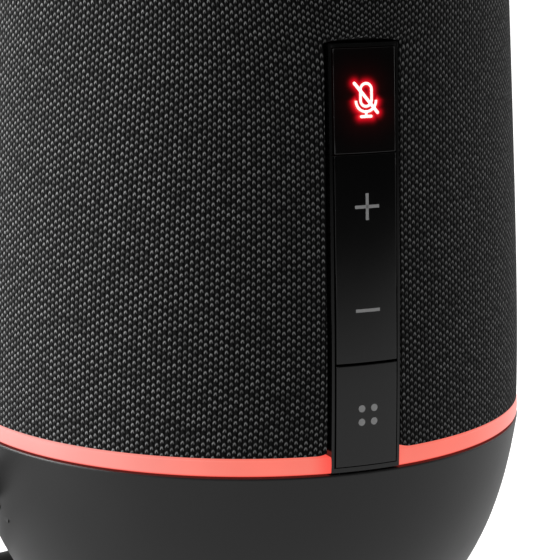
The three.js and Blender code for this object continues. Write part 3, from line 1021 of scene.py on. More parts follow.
# ---------------------------------------------------------------- studio
@dataclass
class Studio:
    """The camera, the table and the lights."""

    camera_place: Point = (-0.18930, -0.42041, 0.16185)
    heading: float = 25.23
    pitch: float = 11.028
    roll: float = 0.388
    lens: float = 146.486
    near_floor: float = 0.12
    far_floor: float = 1.10
    own_light: float = 0.60
    bounce: float = 0.72

    def build(self) -> None:
        """Sets up the camera, then the table and the lights."""
        self.place_camera()
        self.lay_floor()
        self.light_world()
        self.hang_softbox("overhead", (-0.35, -0.15, 1.25), (1.1, 1.1), 4.5)
        self.hang_softbox("left_wall", (-1.22, 0.52, 0.45), (0.9, 1.2), 34.0)
        self.hang_softbox("right_wall", (1.35, 0.10, 0.45), (0.7, 1.0), 4.2)
        self.hang_softbox("rear_wall", (-0.45, 1.25, 0.40), (0.7, 1.0), 4.0)
        view = bpy.context.scene.view_settings
        view.view_transform = "Standard"
        view.look = "None"

    def place_camera(self) -> None:
        """Adds the camera and makes it the scene's."""
        bpy.ops.object.camera_add()
        camera = bpy.context.object
        camera.name = "view_camera"
        camera.data.lens = self.lens
        camera.data.sensor_width = 36.0
        camera.data.clip_start = 0.01
        turned = Matrix.Rotation(-radians(self.heading), 4, "Z")
        tipped = Matrix.Rotation(pi / 2 - radians(self.pitch), 4, "X")
        rolled = Matrix.Rotation(radians(self.roll), 4, "Z")
        camera.matrix_world = Matrix.Translation(self.camera_place) @ turned @ tipped @ rolled
        bpy.context.scene.camera = camera

    def lay_floor(self) -> None:
        """Lays the white table, which is lit behind the speaker and darker in front of it."""
        bpy.ops.mesh.primitive_circle_add(vertices=96, radius=4.0, fill_type="NGON")
        floor = keep_primitive("table_floor")
        graph = Graph("table_white")
        place = graph.place()
        ahead = graph.node("VectorMath", operation="DOT_PRODUCT")
        graph.feed(ahead.inputs[0], place)
        ahead.inputs[1].default_value = Vector((0.20, -0.98, 0.0))
        lit = graph.step(ahead.outputs["Value"], self.far_floor, self.near_floor)
        grain = graph.noise(place, 0.004, 3.0)
        paper = graph.node("BsdfPrincipled")
        graph.feed(paper.inputs["Base Color"], graph.blend(grain, grey(0.78), grey(0.82)))
        paper.inputs["Roughness"].default_value = 0.85
        paper.inputs["Specular IOR Level"].default_value = 0.1
        paper.inputs["Emission Color"].default_value = grey(1.0)
        paper.inputs["Emission Strength"].default_value = self.own_light
        mirrored = graph.node("Emission")
        graph.feed(mirrored.inputs["Strength"], graph.scaled(lit, 0.03, self.bounce))
        either = graph.node("MixShader")
        graph.feed(either.inputs[0], graph.node("LightPath").outputs["Is Camera Ray"])
        graph.feed(either.inputs[1], mirrored.outputs[0])
        graph.feed(either.inputs[2], paper.outputs[0])
        ending = graph.node("OutputMaterial")
        graph.feed(ending.inputs["Surface"], either.outputs[0])
        floor.data.materials.append(graph.result)
        floor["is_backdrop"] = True

    def light_world(self) -> None:
        """Makes the room white behind and above the speaker, and dark behind the viewer."""
        world = bpy.data.worlds.new("room")
        bpy.context.scene.world = world
        world.use_nodes = True
        graph = Graph.__new__(Graph)
        graph.tree = world.node_tree
        graph.tree.nodes.clear()
        direction = graph.node("TexCoord").outputs["Generated"]
        facing = graph.node("VectorMath", operation="DOT_PRODUCT")
        graph.feed(facing.inputs[0], direction)
        facing.inputs[1].default_value = Vector((-0.20, 0.80, 0.56)).normalized()
        level = graph.scaled(graph.step(facing.outputs["Value"], -0.05, 0.60), 0.02, 1.00)
        seen = graph.node("LightPath").outputs["Is Camera Ray"]
        background = graph.node("Background")
        background.inputs["Color"].default_value = grey(1.0)
        graph.feed(background.inputs["Strength"], graph.math("MAXIMUM", level, seen))
        ending = graph.node("OutputWorld")
        graph.feed(ending.inputs["Surface"], background.outputs[0])

    def hang_softbox(
        self, name: str, place: Point, size: tuple[float, float], power: float
    ) -> None:
        """Hangs a softbox that faces the speaker.

        Args:
            name: The light's name.
            place: Its middle.
            size: Its width and height.
            power: Its power in watts.
        """
        bpy.ops.object.light_add(type="AREA", location=place)
        lamp = bpy.context.object
        lamp.name = name
        lamp.data.shape = "RECTANGLE"
        lamp.data.size, lamp.data.size_y = size
        lamp.data.energy = power
        aim = Vector((0.0, 0.0, 0.09)) - Vector(place)
        lamp.rotation_euler = aim.to_track_quat("-Z", "Y").to_euler()


# ---------------------------------------------------------------- power lead
def eased(share: float) -> float:
    """Gives a smooth step of a share, which is held between 0 and 1."""
    share = min(max(share, 0.0), 1.0)
    return share * share * (3 - 2 * share)


@dataclass
class PowerLead:
    """The low-voltage lead with its plug, its coil and tie, and the wall adapter."""

    wire_radius: float = 0.0020
    length: float = 1.5
    exit: Point = (-0.0475, 0.0, 0.0361)
    start: Point = (-0.0700, 0.0, 0.0361)
    route: tuple[Point, ...] = (
        (-0.0828, 0.0, 0.0361),
        (-0.0905, 0.0004, 0.0348),
        (-0.0982, 0.0018, 0.0296),
        (-0.1038, 0.0046, 0.0210),
        (-0.1070, 0.0090, 0.0120),
        (-0.1070, 0.0160, 0.0052),
        (-0.1035, 0.0245, 0.0025),
        (-0.0960, 0.0325, 0.0022),
        (-0.0840, 0.0385, 0.0022),
        (-0.0690, 0.0416, 0.0022),
        (-0.0530, 0.0440, 0.0022),
        (-0.0370, 0.0476, 0.0022),
        (-0.0210, 0.0520, 0.0022),
        (-0.0050, 0.0514, 0.0022),
        (0.0100, 0.0467, 0.0022),
        (0.0220, 0.0410, 0.0025),
    )
    tail: tuple[Point, ...] = (
        (0.0655, 0.0855, 0.0066),
        (0.0582, 0.0966, 0.0062),
        (0.0471, 0.1040, 0.0058),
        (0.0340, 0.1064, 0.0055),
        (0.0280, 0.1064, 0.0055),
        (0.0226, 0.1064, 0.0055),
        (0.0150, 0.1064, 0.0055),
    )
    coil_centre: tuple[float, float] = (0.0340, 0.0724)
    turn_radii: tuple[float, ...] = (
        0.0335, 0.0290, 0.02495, 0.0209, 0.01685, 0.0209, 0.02495, 0.0290, 0.0335,
    )  # fmt: skip
    lower_turns: float = 0.0029
    upper_turns: float = 0.0070
    relief_tip: Point = (0.0223, 0.1064, 0.0055)
    adapter_low: Point = (-0.0490, 0.0874, 0.0)
    adapter_high: Point = (0.0040, 0.1254, 0.0280)
    pin_length: float = 0.0190
    pin_radius: float = 0.0020
    pin_place: Point = (-0.0330, 0.1064, 0.0283)
    pin_spacing: float = 0.0190

    def coil(self) -> list[Point]:
        """Lays the coil's turns: inwards on the table, then outwards on top of them.

        Returns:
            The points in the order that the lead runs.
        """
        points = []
        steps = 16
        turns = len(self.turn_radii) - 1
        climb_start = 3 * 360 + 100
        climb_end = climb_start + 70
        count = round((turns - 0.75) * steps)
        for i in range(count + 1):
            degrees = -90 + 360 * i / steps
            turn_number = min(int((degrees + 90) // 360), turns - 1)
            within = degrees + 90 - 360 * turn_number
            ease = eased(within / 90)
            before = self.turn_radii[turn_number]
            after = self.turn_radii[turn_number + 1]
            radius = before + (after - before) * ease
            rise = eased((degrees - climb_start) / (climb_end - climb_start))
            height = self.lower_turns + (self.upper_turns - self.lower_turns) * rise
            angle = radians(degrees)
            x = self.coil_centre[0] + radius * cos(angle)
            y = self.coil_centre[1] + radius * sin(angle)
            points.append((x, y, height))
        return points

    def build(self) -> None:
        lead = self.wire()
        pieces = [self.plug(), self.tie(), self.relief(), self.adapter(), *self.pins()]

    def wire(self) -> bpy.types.Object:
        """Draws the lead as one smooth curve.

        Returns:
            The lead.
        """
        points = [self.start, *self.route, *self.coil(), *self.tail]
        curve = bpy.data.curves.new("power_lead", "CURVE")
        curve.dimensions = "3D"
        curve.bevel_depth = self.wire_radius
        curve.bevel_resolution = 4
        curve.resolution_u = 5
        curve.use_fill_caps = True
        spline = curve.splines.new("BEZIER")
        spline.bezier_points.add(len(points) - 1)
        for knot, place in zip(spline.bezier_points, points):
            knot.co = place
            knot.handle_left_type = "AUTO"
            knot.handle_right_type = "AUTO"
        lead = bpy.data.objects.new("power_lead", curve)
        bpy.context.scene.collection.objects.link(lead)
        return hand_over(lead, LEAD_JACKET, ("power_cord", "cord_coil", "cord_tail"))

    def plug(self) -> bpy.types.Object:
        """Turns the plug: its metal barrel's sleeve, a ribbed grip and a tapered relief.

        Returns:
            The plug.
        """
        profile = [
            (0.0, 0.0451),
            (0.0012, 0.0451),
            (0.0012, 0.0387),
            (0.00265, 0.0385),
            (0.00275, 0.0387),
            (0.00275, 0.0475),
            (0.0044, 0.0475),
            (0.0049, 0.0480),
            (0.0049, 0.0500),
        ]
        for i in range(5):
            rib = 0.0505 + 0.0019 * i
            profile += [(0.0049, rib), (0.00455, rib + 0.0003), (0.00455, rib + 0.0009)]
            profile.append((0.0049, rib + 0.0012))
        profile += [(0.0048, 0.0605), (0.0040, 0.0622), (0.0036, 0.0636)]
        for i in range(4):
            neck = 0.0650 + 0.0042 * i
            wide = 0.0035 - 0.00022 * i
            profile += [(wide, neck), (wide - 0.0004, neck + 0.0003)]
            profile += [(wide - 0.0004, neck + 0.0012), (wide - 0.00005, neck + 0.0015)]
        profile += [(0.00262, 0.0815), (0.0023, 0.0825), (0.0, 0.0825)]
        along = [(radius, -distance) for radius, distance in profile]
        centre = (0.0, 0.0, self.exit[2])
        plug = turn("lead_plug", along, 32, centre, (1.0, 0.0, 0.0), closed=False)
        return hand_over(plug, TRIM_PLASTIC, ("dc_plug",), smooth=50)

    def tie(self) -> bpy.types.Object:
        """Wraps a strap round the coil's side.

        Returns:
            The tie.
        """
        low_x = self.coil_centre[0] - 0.0317
        high_x = self.coil_centre[0] - 0.0141
        bottom, top, corner = 0.0005, 0.0098, 0.0020
        outline = []
        corners = (
            (high_x - corner, top - corner, 0),
            (low_x + corner, top - corner, 90),
            (low_x + corner, bottom + corner, 180),
            (high_x - corner, bottom + corner, 270),
        )
        for x, z, start in corners:
            for i in range(7):
                angle = radians(start + 15 * i)
                outline.append((x + corner * cos(angle), z + corner * sin(angle)))
        front = self.coil_centre[1] - 0.003
        strap = trace("coil_strap", [(x, front, z) for x, z in outline])
        with editing(strap):
            shift = {"value": (0.0, 0.006, 0.0)}
            bpy.ops.mesh.extrude_region_move(TRANSFORM_OT_translate=shift)
            bpy.ops.mesh.select_all(action="SELECT")
            bpy.ops.mesh.normals_make_consistent(inside=False)
        apply_modifier(strap, "SOLIDIFY", thickness=0.0005, offset=0.0)
        lap = block(
            "strap_lap",
            (low_x + 0.004, front + 0.0002, top),
            (high_x - 0.003, front + 0.0058, top + 0.00035),
        )
        round_edges(lap, 0.0001, 2)
        strap = merge_pieces("coil_strap", [strap, lap])
        return hand_over(strap, TIE_STRAP, ("coil_tie",))

    def relief(self) -> bpy.types.Object:
        """Turns the adapter's strain relief, with grooves that let it bend.

        Returns:
            The strain relief.
        """
        profile = [(0.0, 0.0), (0.0023, 0.0), (0.0025, 0.0003)]
        for i in range(4):
            groove = 0.0020 + 0.0032 * i
            wide = 0.0026 + 0.0003 * i
            profile += [(wide, groove), (wide - 0.0005, groove + 0.0003)]
            profile += [(wide - 0.0004, groove + 0.0012), (wide + 0.0002, groove + 0.0015)]
        profile += [(0.0040, 0.0155), (0.0040, 0.0178), (0.0038, 0.0180), (0.0, 0.0180)]
        along = [(radius, -distance) for radius, distance in profile]
        relief = turn(
            "adapter_strain_relief", along, 32, self.relief_tip, (1.0, 0.0, 0.0), closed=False
        )
        return hand_over(relief, TRIM_PLASTIC, ("adapter_relief",), smooth=50)

    def adapter(self) -> bpy.types.Object:
        """Moulds the adapter's shell, with a sunk pin face and a parting line.

        Returns:
            The shell.
        """
        low, high = Vector(self.adapter_low), Vector(self.adapter_high)
        shell = block("adapter_housing", low, high)
        round_edges(shell, 0.0035, 5)
        seam = high.z - 0.0095
        outside = Vector((0.001, 0.001, 0.0))
        inside = Vector((0.0004, 0.0004, 0.0))
        groove = block(
            "parting_line",
            Vector((low.x, low.y, seam)) - outside,
            Vector((high.x, high.y, seam + 0.0005)) + outside,
        )
        core = block(
            "parting_core",
            Vector((low.x, low.y, low.z - 0.01)) + inside,
            Vector((high.x, high.y, high.z + 0.01)) - inside,
        )
        round_edges(core, 0.0031, 5)
        combine(groove, core, "DIFFERENCE")
        combine(shell, groove, "DIFFERENCE")
        x, y, _ = self.pin_place
        sunk = block(
            "pin_face",
            (x - 0.0080, y - 0.0150, high.z - 0.0005),
            (x + 0.0080, y + 0.0150, high.z + 0.001),
        )
        combine(shell, sunk, "DIFFERENCE")
        return hand_over(shell, ADAPTER_PLASTIC, ("adapter_shell",), smooth=30)

    def pins(self) -> list[bpy.types.Object]:
        """Turns the two mains pins, with their insulated collars.

        Returns:
            The pins.
        """
        made = []
        for i, side in enumerate((-1, 1)):
            x, y, z = self.pin_place
            radius = self.pin_radius
            profile = [
                (0.0, 0.0),
                (radius, 0.0),
                (radius, 0.0100),
                (radius - 0.00015, 0.0102),
                (radius - 0.00015, self.pin_length - 0.0020),
                (radius - 0.0005, self.pin_length - 0.0008),
                (radius - 0.0012, self.pin_length - 0.0001),
                (0.0, self.pin_length),
            ]
            centre = (x, y + side * self.pin_spacing / 2, z)
            pin = turn(f"mains_pin_{i + 1}", profile, 28, centre, closed=False)
            made.append(hand_over(pin, STEEL, (f"adapter_pin_{i + 1}",)))
        return made


# ---------------------------------------------------------------- base
@dataclass
class BaseCup:
    """The rounded base with its socket recess, its foot and the light band above it."""

    wall: float = 0.0024
    underside: float = 0.0010
    underside_radius: float = 0.0324
    top: float = 0.04585
    recess_half: float = 0.0052
    recess_low: float = 0.0306
    recess_high: float = 0.0416
    recess_back: float = 0.0470
    recess_wall: float = 0.0020
    jack_hole: float = 0.0042
    band_inner: float = 0.0520
    band_outer: float = 0.0572
    band_gap: float = 0.00015
    band_notch: float = 0.00715
    foot_inner: float = 0.0235
    foot_outer: float = 0.0300
    foot_height: float = 0.0022

    def build(self) -> None:
        """Builds the base's visible pieces."""
        self.shell()
        self.light_band()
        self.foot()

    def shell(self) -> bpy.types.Object:
        """Turns the base and sinks the socket's recess into it.

        Returns:
            The base shell.
        """
        count = 30
        outside = []
        for i in range(count + 1):
            share = 1 - (1 - i / count) ** 1.5
            height = self.underside + (self.top - 0.0003 - self.underside) * share
            outside.append((COLUMN.base(height), height))
        lip = COLUMN.base(self.top - 0.0003)
        outside += [(lip - 0.00008, self.top - 0.00009), (lip - 0.0003, self.top)]
        inside = [
            (COLUMN.base(z) - self.wall, z)
            for z in (self.top, 0.038, 0.030, 0.022, 0.015, 0.010, 0.006, 0.0034)
        ]
        profile = [(self.underside_radius, self.underside), *outside, *inside]
        profile.append((self.underside_radius, self.underside + self.wall))
        shell = turn("base_cup", profile, 144)
        wall = self.recess_wall
        well = block(
            "socket_well",
            (-0.0535, -self.recess_half - wall, self.recess_low - wall),
            (-self.recess_back + wall, self.recess_half + wall, self.recess_high + wall),
        )
        combine(shell, well, "UNION")
        pocket = block(
            "socket_pocket",
            (-0.0620, -self.recess_half, self.recess_low),
            (-self.recess_back, self.recess_half, self.recess_high),
        )
        round_edges(pocket, 0.0012, 4)
        combine(shell, pocket, "DIFFERENCE")
        middle = (self.recess_low + self.recess_high) / 2
        place = (-self.recess_back, 0.0, middle)
        drill(shell, self.jack_hole, 0.012, place, (0.0, pi / 2, 0.0), 40)
        return hand_over(shell, BASE_PLASTIC, ("base_shell",), smooth=32)

    def light_band(self) -> bpy.types.Object:
        """Turns the light band and opens it for the key strip.

        Returns:
            The light band.
        """
        low = COLUMN.band_bottom + self.band_gap
        high = COLUMN.band_top - self.band_gap
        edge = 0.00035
        profile = [
            (self.band_inner, low),
            (self.band_outer - edge, low),
            (self.band_outer - 0.0001, low + edge * 0.6),
            (self.band_outer, (low + high) / 2),
            (self.band_outer - 0.0001, high - edge * 0.6),
            (self.band_outer - edge, high),
            (self.band_inner, high),
        ]
        band = turn("light_band", profile, 192)
        notch = block(
            "band_notch",
            (-self.band_notch, -0.0700, 0.0400),
            (self.band_notch, -0.0410, 0.0600),
        )
        combine(band, notch, "DIFFERENCE")
        return hand_over(band, BAND_GLOW, ("light_ring",))

    def foot(self) -> bpy.types.Object:
        """Turns the rubber foot, with a shallow channel round its sole.

        Returns:
            The foot.
        """
        middle = (self.foot_inner + self.foot_outer) / 2
        profile = [
            (self.foot_inner, self.foot_height),
            (self.foot_inner, 0.0004),
            (self.foot_inner + 0.0004, 0.0),
            (middle - 0.0007, 0.0),
            (middle - 0.0004, 0.0005),
            (middle + 0.0004, 0.0005),
            (middle + 0.0007, 0.0),
            (self.foot_outer - 0.0004, 0.0),
            (self.foot_outer, 0.0004),
            (self.foot_outer, self.foot_height),
        ]
        foot = turn("rubber_foot", profile, 96)
        return hand_over(foot, FOOT_RUBBER, ("foot_ring",))


# ---------------------------------------------------------------- cloth
@dataclass
class ClothSleeve:
    """The knitted sleeve: one sheet wrapped round the column, sewn at the back."""

    columns: int = 386
    row_height: float = 0.00132
    cells: int = 188
    rows: int = 74
    bottom: float = 0.0496
    slot_cells: int = 4
    slot_rows: int = 40
    arch: float = 0.00060
    sag: float = 0.0003
    crowding: float = 0.10
    crowded_height: float = 0.131
    corner_pull: float = 0.0013
    side_pull: float = 0.0017
    foot_pull: float = 0.0008
    row_arch: float = 0.0032
    lip: float = 0.00035
    lip_width: float = 0.00055
    lip_rise: float = 0.00115
    lip_half: float = 0.0092
    left_gap: float = 0.00038
    foot_corner: float = 0.0024
    foot_lift: float = 0.0004
    thickness: float = 0.0007
    near_edge: float = 0.0012
    near_top: float = 0.0015
    top_reach: float = 0.0004
    edge_roll: tuple[tuple[float, float], ...] = (
        (0.00003, 0.00016),
        (0.00008, 0.00036),
        (0.00011, 0.00075),
        (0.00011, 0.0030),
    )
    column_width: float = field(init=False)
    cell: float = field(init=False)

    def __post_init__(self) -> None:
        """Works out the knit's column and the grid's cell from the girth."""
        girth = 2 * pi * COLUMN.radius
        self.column_width = girth / self.columns
        self.cell = girth / self.cells

    def slot_half(self) -> float:
        """Gives half the width of the opening for the key strip."""
        return self.slot_cells * self.cell

    def slot_top(self) -> float:
        """Gives the height of the opening's upper corners."""
        return self.bottom + self.slot_rows * self.cell

    def build(self) -> None:
        sheet = self.cut_sheet()
        self.roll_edges(sheet)
        self.shape_opening(sheet)
        self.number_stitches(sheet)
        self.wrap(sheet)
        apply_modifier(sheet, "SOLIDIFY", thickness=self.thickness, offset=-1.0)
        hand_over(sheet, KNIT, ("fabric_sleeve",), smooth=75)

    def cut_sheet(self) -> bpy.types.Object:
        """Cuts the flat sheet: X runs round the girth, Z up, and +Y is the inside.

        Returns:
            The flat sheet with the opening cut out.
        """
        width = self.cells * self.cell
        height = self.rows * self.cell
        bpy.ops.object.select_all(action="DESELECT")
        bpy.ops.mesh.primitive_grid_add(
            x_subdivisions=self.cells,
            y_subdivisions=self.rows,
            size=1.0,
            location=(0.0, 0.0, self.bottom + height / 2),
            rotation=(pi / 2, 0.0, 0.0),
        )
        bpy.context.object.scale = (width, height, 1.0)
        sheet = keep_primitive("cloth_sleeve")
        half = self.slot_half()
        top = self.slot_top()
        with editing(sheet):
            mesh = bmesh.from_edit_mesh(sheet.data)
            bpy.ops.mesh.select_mode(type="FACE")
            for face in mesh.faces:
                middle = face.calc_center_median()
                face.select_set(abs(middle.x) < half and middle.z < top)
            bmesh.update_edit_mesh(sheet.data)
            bpy.ops.mesh.delete(type="FACE")
            mesh = bmesh.from_edit_mesh(sheet.data)
            for face in mesh.faces:
                middle = face.calc_center_median()
                near = abs(middle.x) < half + self.cell
                face.select_set(near and middle.z < top + 2 * self.cell)
            bmesh.update_edit_mesh(sheet.data)
            bpy.ops.mesh.subdivide(number_cuts=3)
        return sheet

    def roll_edges(self, sheet: bpy.types.Object) -> None:
        """Extrudes the opening's edge, the hem and the top edge inwards over a small roll.

        Args:
            sheet: The flat sheet.
        """
        half = self.slot_half() + MERGE
        top = self.slot_top() + MERGE
        end = self.cells * self.cell / 2 - MERGE
        highest = self.bottom + self.rows * self.cell

        with editing(sheet):
            bpy.ops.mesh.select_mode(type="EDGE")
            bpy.ops.mesh.select_all(action="DESELECT")
            mesh = bmesh.from_edit_mesh(sheet.data)
            for edge in mesh.edges:
                outer = all(abs(vert.co.x) > end for vert in edge.verts)
                if edge.is_boundary and not outer:
                    edge.select_set(True)
            bmesh.update_edit_mesh(sheet.data)
            before = (0.0, 0.0)
            for step in self.edge_roll:
                inwards, deeper = step[0] - before[0], step[1] - before[1]
                before = step
                bpy.ops.mesh.extrude_region_move(
                    TRANSFORM_OT_translate={"value": (0.0, deeper, 0.0)}
                )
                mesh = bmesh.from_edit_mesh(sheet.data)
                for vert in mesh.verts:
                    if not vert.select:
                        continue
                    place = vert.co
                    if place.z > highest - self.near_top:
                        vert.co.z = min(place.z + inwards, highest + self.top_reach)
                    elif abs(place.x) < half and place.z < top:
                        if place.z < top - self.near_edge:
                            vert.co.x -= inwards * (1 if place.x > 0 else -1)
                        elif abs(place.x) > half - self.near_edge:
                            vert.co.x -= inwards * (1 if place.x > 0 else -1)
                            vert.co.z -= inwards
                        else:
                            vert.co.z -= inwards
                    if place.z < self.bottom + self.near_edge:
                        vert.co.z -= inwards * 0.5
                bmesh.update_edit_mesh(sheet.data)

    def shape_opening(self, sheet: bpy.types.Object) -> None:
        """Lifts the opening's upper edge into its arch and rounds its lower corners.

        Args:
            sheet: The flat sheet.
        """
        half = self.slot_half()
        top = self.slot_top()
        for vert in sheet.data.vertices:
            x, z = vert.co.x, vert.co.z
            above = max(z - top, 0.0)
            beside = max(abs(x) - half, 0.0) / self.foot_corner
            if beside < 1 and z < self.bottom + 0.006:
                raised = max(z - self.bottom, 0.0)
                vert.co.z += self.foot_lift * (1 - beside) ** 2 * exp(-raised / 0.0015)
            if x < 0 and z < top + MERGE:
                vert.co.x -= self.left_gap * exp(-beside * self.foot_corner / 0.003)
            if z < top - self.near_edge:
                continue
            share = max(1 - (x / half) ** 2, 0.0)
            vert.co.z += (self.arch * share - self.sag) * exp(-above / 0.008)
            ridge = top + self.lip_rise * (1 - 1.25 * (x / self.lip_half) ** 2)
            off = (vert.co.z - ridge) / self.lip_width
            flank = exp(-((max(abs(x) - 0.8 * half, 0.0) / 0.0022) ** 2))
            sunk = self.lip_width * min(max(-off, 0.0), 2.0) * 0.45
            vert.co.y += (sunk - self.lip * exp(-off * off)) * flank

    def number_stitches(self, sheet: bpy.types.Object) -> None:
        """Gives the sheet the stitch coordinates: columns across and rows up.

        Args:
            sheet: The flat sheet.
        """
        sheet.data.uv_layers.new(name=KNIT.uv_name)
        for stale in [other for other in sheet.data.uv_layers if other.name != KNIT.uv_name]:
            sheet.data.uv_layers.remove(stale)
        layer = sheet.data.uv_layers[KNIT.uv_name]
        for loop in sheet.data.loops:
            x, y, z = sheet.data.vertices[loop.vertex_index].co
            column, row = self.stitch(x, max(y, 0.0), z)
            layer.data[loop.index].uv = (column, row)

    def stitch(self, x: float, depth: float, z: float) -> tuple[float, float]:
        """Gives the column and row at a place on the flat sheet.

        Args:
            x: Distance round the girth from the middle of the key strip.
            depth: How far the edge is turned in.
            z: Distance up the sheet.

        Returns:
            The column and the row, which may be fractions.
        """
        half = self.slot_half()
        top = self.slot_top()
        side = 1.0 if x >= 0 else -1.0
        beside = max(abs(x) - half, 0.0)
        if z < top:
            drawn_in = self.corner_pull + self.side_pull * (1 - exp((z - top) / 0.012))
            drawn_in -= self.foot_pull * exp((self.bottom - z) / 0.014)
            fade = exp((z - top) / 0.008)
        else:
            drawn_in = self.corner_pull * exp((top - z) / 0.006)
            fade = exp((top - z) / 0.010)
        near = min(abs(x) / half, 1.0) * exp(-((beside / 0.045) ** 2))
        over = z - self.crowded_height
        crowding = self.crowding * exp(min(over, 0.0) / 0.025 - max(over, 0.0) / 0.040)
        moved = abs(x) * (1 + crowding * exp(-((x / 0.080) ** 2))) + drawn_in * near
        lift = self.row_arch * exp(-((x / 0.0090) ** 2)) * fade
        if abs(x) < half:
            moved -= depth
        return side * moved / self.column_width, (z - lift - 0.5 * depth) / self.row_height

    def wrap(self, sheet: bpy.types.Object) -> None:
        """Wraps the flat sheet round the column and sews its ends together.

        Args:
            sheet: The flat sheet.
        """
        for vert in sheet.data.vertices:
            vert.co = self.wrapped(*vert.co)
        with editing(sheet):
            bpy.ops.mesh.remove_doubles(threshold=1e-5)
            bpy.ops.mesh.normals_make_consistent(inside=False)

    def wrapped(self, x: float, depth: float, z: float) -> Point:
        """Gives the place on the column of a place on the flat sheet.

        Args:
            x: Distance round the girth from the middle of the key strip.
            depth: How far the place lies inside the cloth's face.
            z: Distance up the sheet.

        Returns:
            The place on the column.
        """
        if z <= COLUMN.shoulder_bottom:
            radius, height = COLUMN.cloth(z) - depth, z
        else:
            angle = min((z - COLUMN.shoulder_bottom) / COLUMN.shoulder_radius, pi / 2)
            bend = COLUMN.shoulder_radius - depth
            radius = COLUMN.shoulder_centre() + bend * cos(angle)
            height = COLUMN.shoulder_bottom + bend * sin(angle)
        level = COLUMN.cloth(min(z, COLUMN.shoulder_bottom))
        true_width = exp(-((x / 0.025) ** 2))
        angle = x / COLUMN.radius * (1 + (COLUMN.radius / level - 1) * true_width)
        return (radius * sin(angle), -radius * cos(angle), height)


# ---------------------------------------------------------------- key strip
@dataclass
class KeyStrip:
    """The bezel with its three keys and their marks."""

    bezel_half: float = 0.00710
    bezel_bottom: float = 0.04615
    bezel_top: float = 0.1253
    opening_half: float = 0.00652
    opening_bottom: float = 0.0470
    opening_top: float = 0.1246
    key_half: float = 0.00625
    key_proud: float = 0.0002
    key_back: float = -0.0022
    key_bottom: float = 0.04718
    key_top: float = 0.1244
    action_split: float = 0.0665
    mute_split: float = 0.1052
    action_gap: float = 0.00045
    mute_gap: float = 0.00025
    print_height: float = 0.00003

    def build(self) -> None:
        """Builds the bezel, the keys and the marks."""
        self.bezel()
        action_top = self.action_split - self.action_gap / 2
        rocker_bottom = self.action_split + self.action_gap / 2
        rocker_top = self.mute_split - self.mute_gap / 2
        mute_bottom = self.mute_split + self.mute_gap / 2
        self.key("action_key_cap", self.key_bottom, action_top, Body.ACTION_KEY, "action_button")
        self.key("volume_key_cap", rocker_bottom, rocker_top, Body.VOLUME_KEY, "volume_rocker")
        self.key("mute_key_cap", mute_bottom, self.key_top, Body.MUTE_KEY, "mute_button")
        self.marks()

    def bezel(self) -> bpy.types.Object:
        """Makes the frame round the keys.

        Returns:
            The bezel.
        """
        bezel = column_skin(
            "key_bezel", -0.0075, 0.0, self.bezel_bottom, self.bezel_top, self.bezel_half
        )
        room = block(
            "key_room",
            (-self.opening_half, -0.0700, self.opening_bottom),
            (self.opening_half, -0.0300, self.opening_top),
        )
        combine(bezel, room, "DIFFERENCE")
        round_edges(bezel, 0.00007, 2)
        return hand_over(bezel, BEZEL_PLASTIC, ("button_bezel",), even=True)

    def key(self, name: str, bottom: float, top: float, body: Body, node: str) -> None:
        """Makes one key.

        Args:
            name: The key's name.
            bottom: Its lower edge.
            top: Its upper edge.
            body: The body it rides on.
            node: The frame's solid that it stands for.
        """
        cap = column_skin(name, self.key_back, self.key_proud, bottom, top, self.key_half)
        round_edges(cap, 0.00014, 3)
        finish = MUTE_PLASTIC if body is Body.MUTE_KEY else KEY_PLASTIC
        hand_over(cap, finish, (node,), body, smooth=40, even=True)

    def print_mark(
        self,
        name: str,
        outlines: Sequence[Sequence[tuple[float, float]]],
        body: Body,
        finish: Finish,
    ) -> None:
        """Prints a mark on a key as a thin raised layer.

        Args:
            name: The mark's name.
            outlines: Each stroke's outline as X and Z.
            body: The key's body.
            finish: The mark's finish.
        """
        heights = [z for outline in outlines for _, z in outline]
        low, high = min(heights) - 0.0005, max(heights) + 0.0005
        strokes = []
        for i, outline in enumerate(outlines):
            stroke = plate(f"{name}_{i}", outline, -0.0620, -0.0500)
            proud = self.key_proud + self.print_height
            skin = column_skin("print_layer", proud - 0.0002, proud, low, high, 0.004)
            combine(stroke, skin, "INTERSECT")
            strokes.append(stroke)
        mark = merge_pieces(name, strokes)
        hand_over(mark, finish, (), body)

    def marks(self) -> None:
        """Prints the plus, the minus, the four dots and the crossed-out microphone."""
        thin = 0.0006
        plus_z, minus_z, long_half, tall_half = 0.09555, 0.07641, 0.00247, 0.00247
        middle = 0.0001
        plus = [
            stroke_outline((middle - long_half, plus_z), (middle + long_half, plus_z), thin, 1),
            stroke_outline((middle, plus_z - tall_half), (middle, plus_z + tall_half), thin, 1),
        ]
        self.print_mark("plus_mark", plus, Body.VOLUME_KEY, KEY_MARK)
        minus = [
            stroke_outline((middle - long_half, minus_z), (middle + long_half, minus_z), thin, 1)
        ]
        self.print_mark("minus_mark", minus, Body.VOLUME_KEY, KEY_MARK)
        dots = [
            circle_outline((middle + x, 0.05675 + z), 0.00068)
            for x in (-0.00128, 0.00128)
            for z in (-0.00128, 0.00128)
        ]
        self.print_mark("dots_mark", dots, Body.ACTION_KEY, KEY_MARK)
        microphone = [
            stroke_outline((-0.00223, 0.11806), (0.00244, 0.11262), 0.00060),
            *capsule_ring((middle, 0.1159), 0.00138, 0.00095, 0.00050),
            arc_band((middle, 0.11490), 0.00205, 0.00050, 180, 360),
            stroke_outline((middle, 0.1131), (middle, 0.1121), 0.00050, 1),
            stroke_outline((-0.0009, 0.1120), (0.0011, 0.1120), 0.00054),
        ]
        self.print_mark("mute_mark_print", microphone, Body.MUTE_KEY, MUTE_MARK)


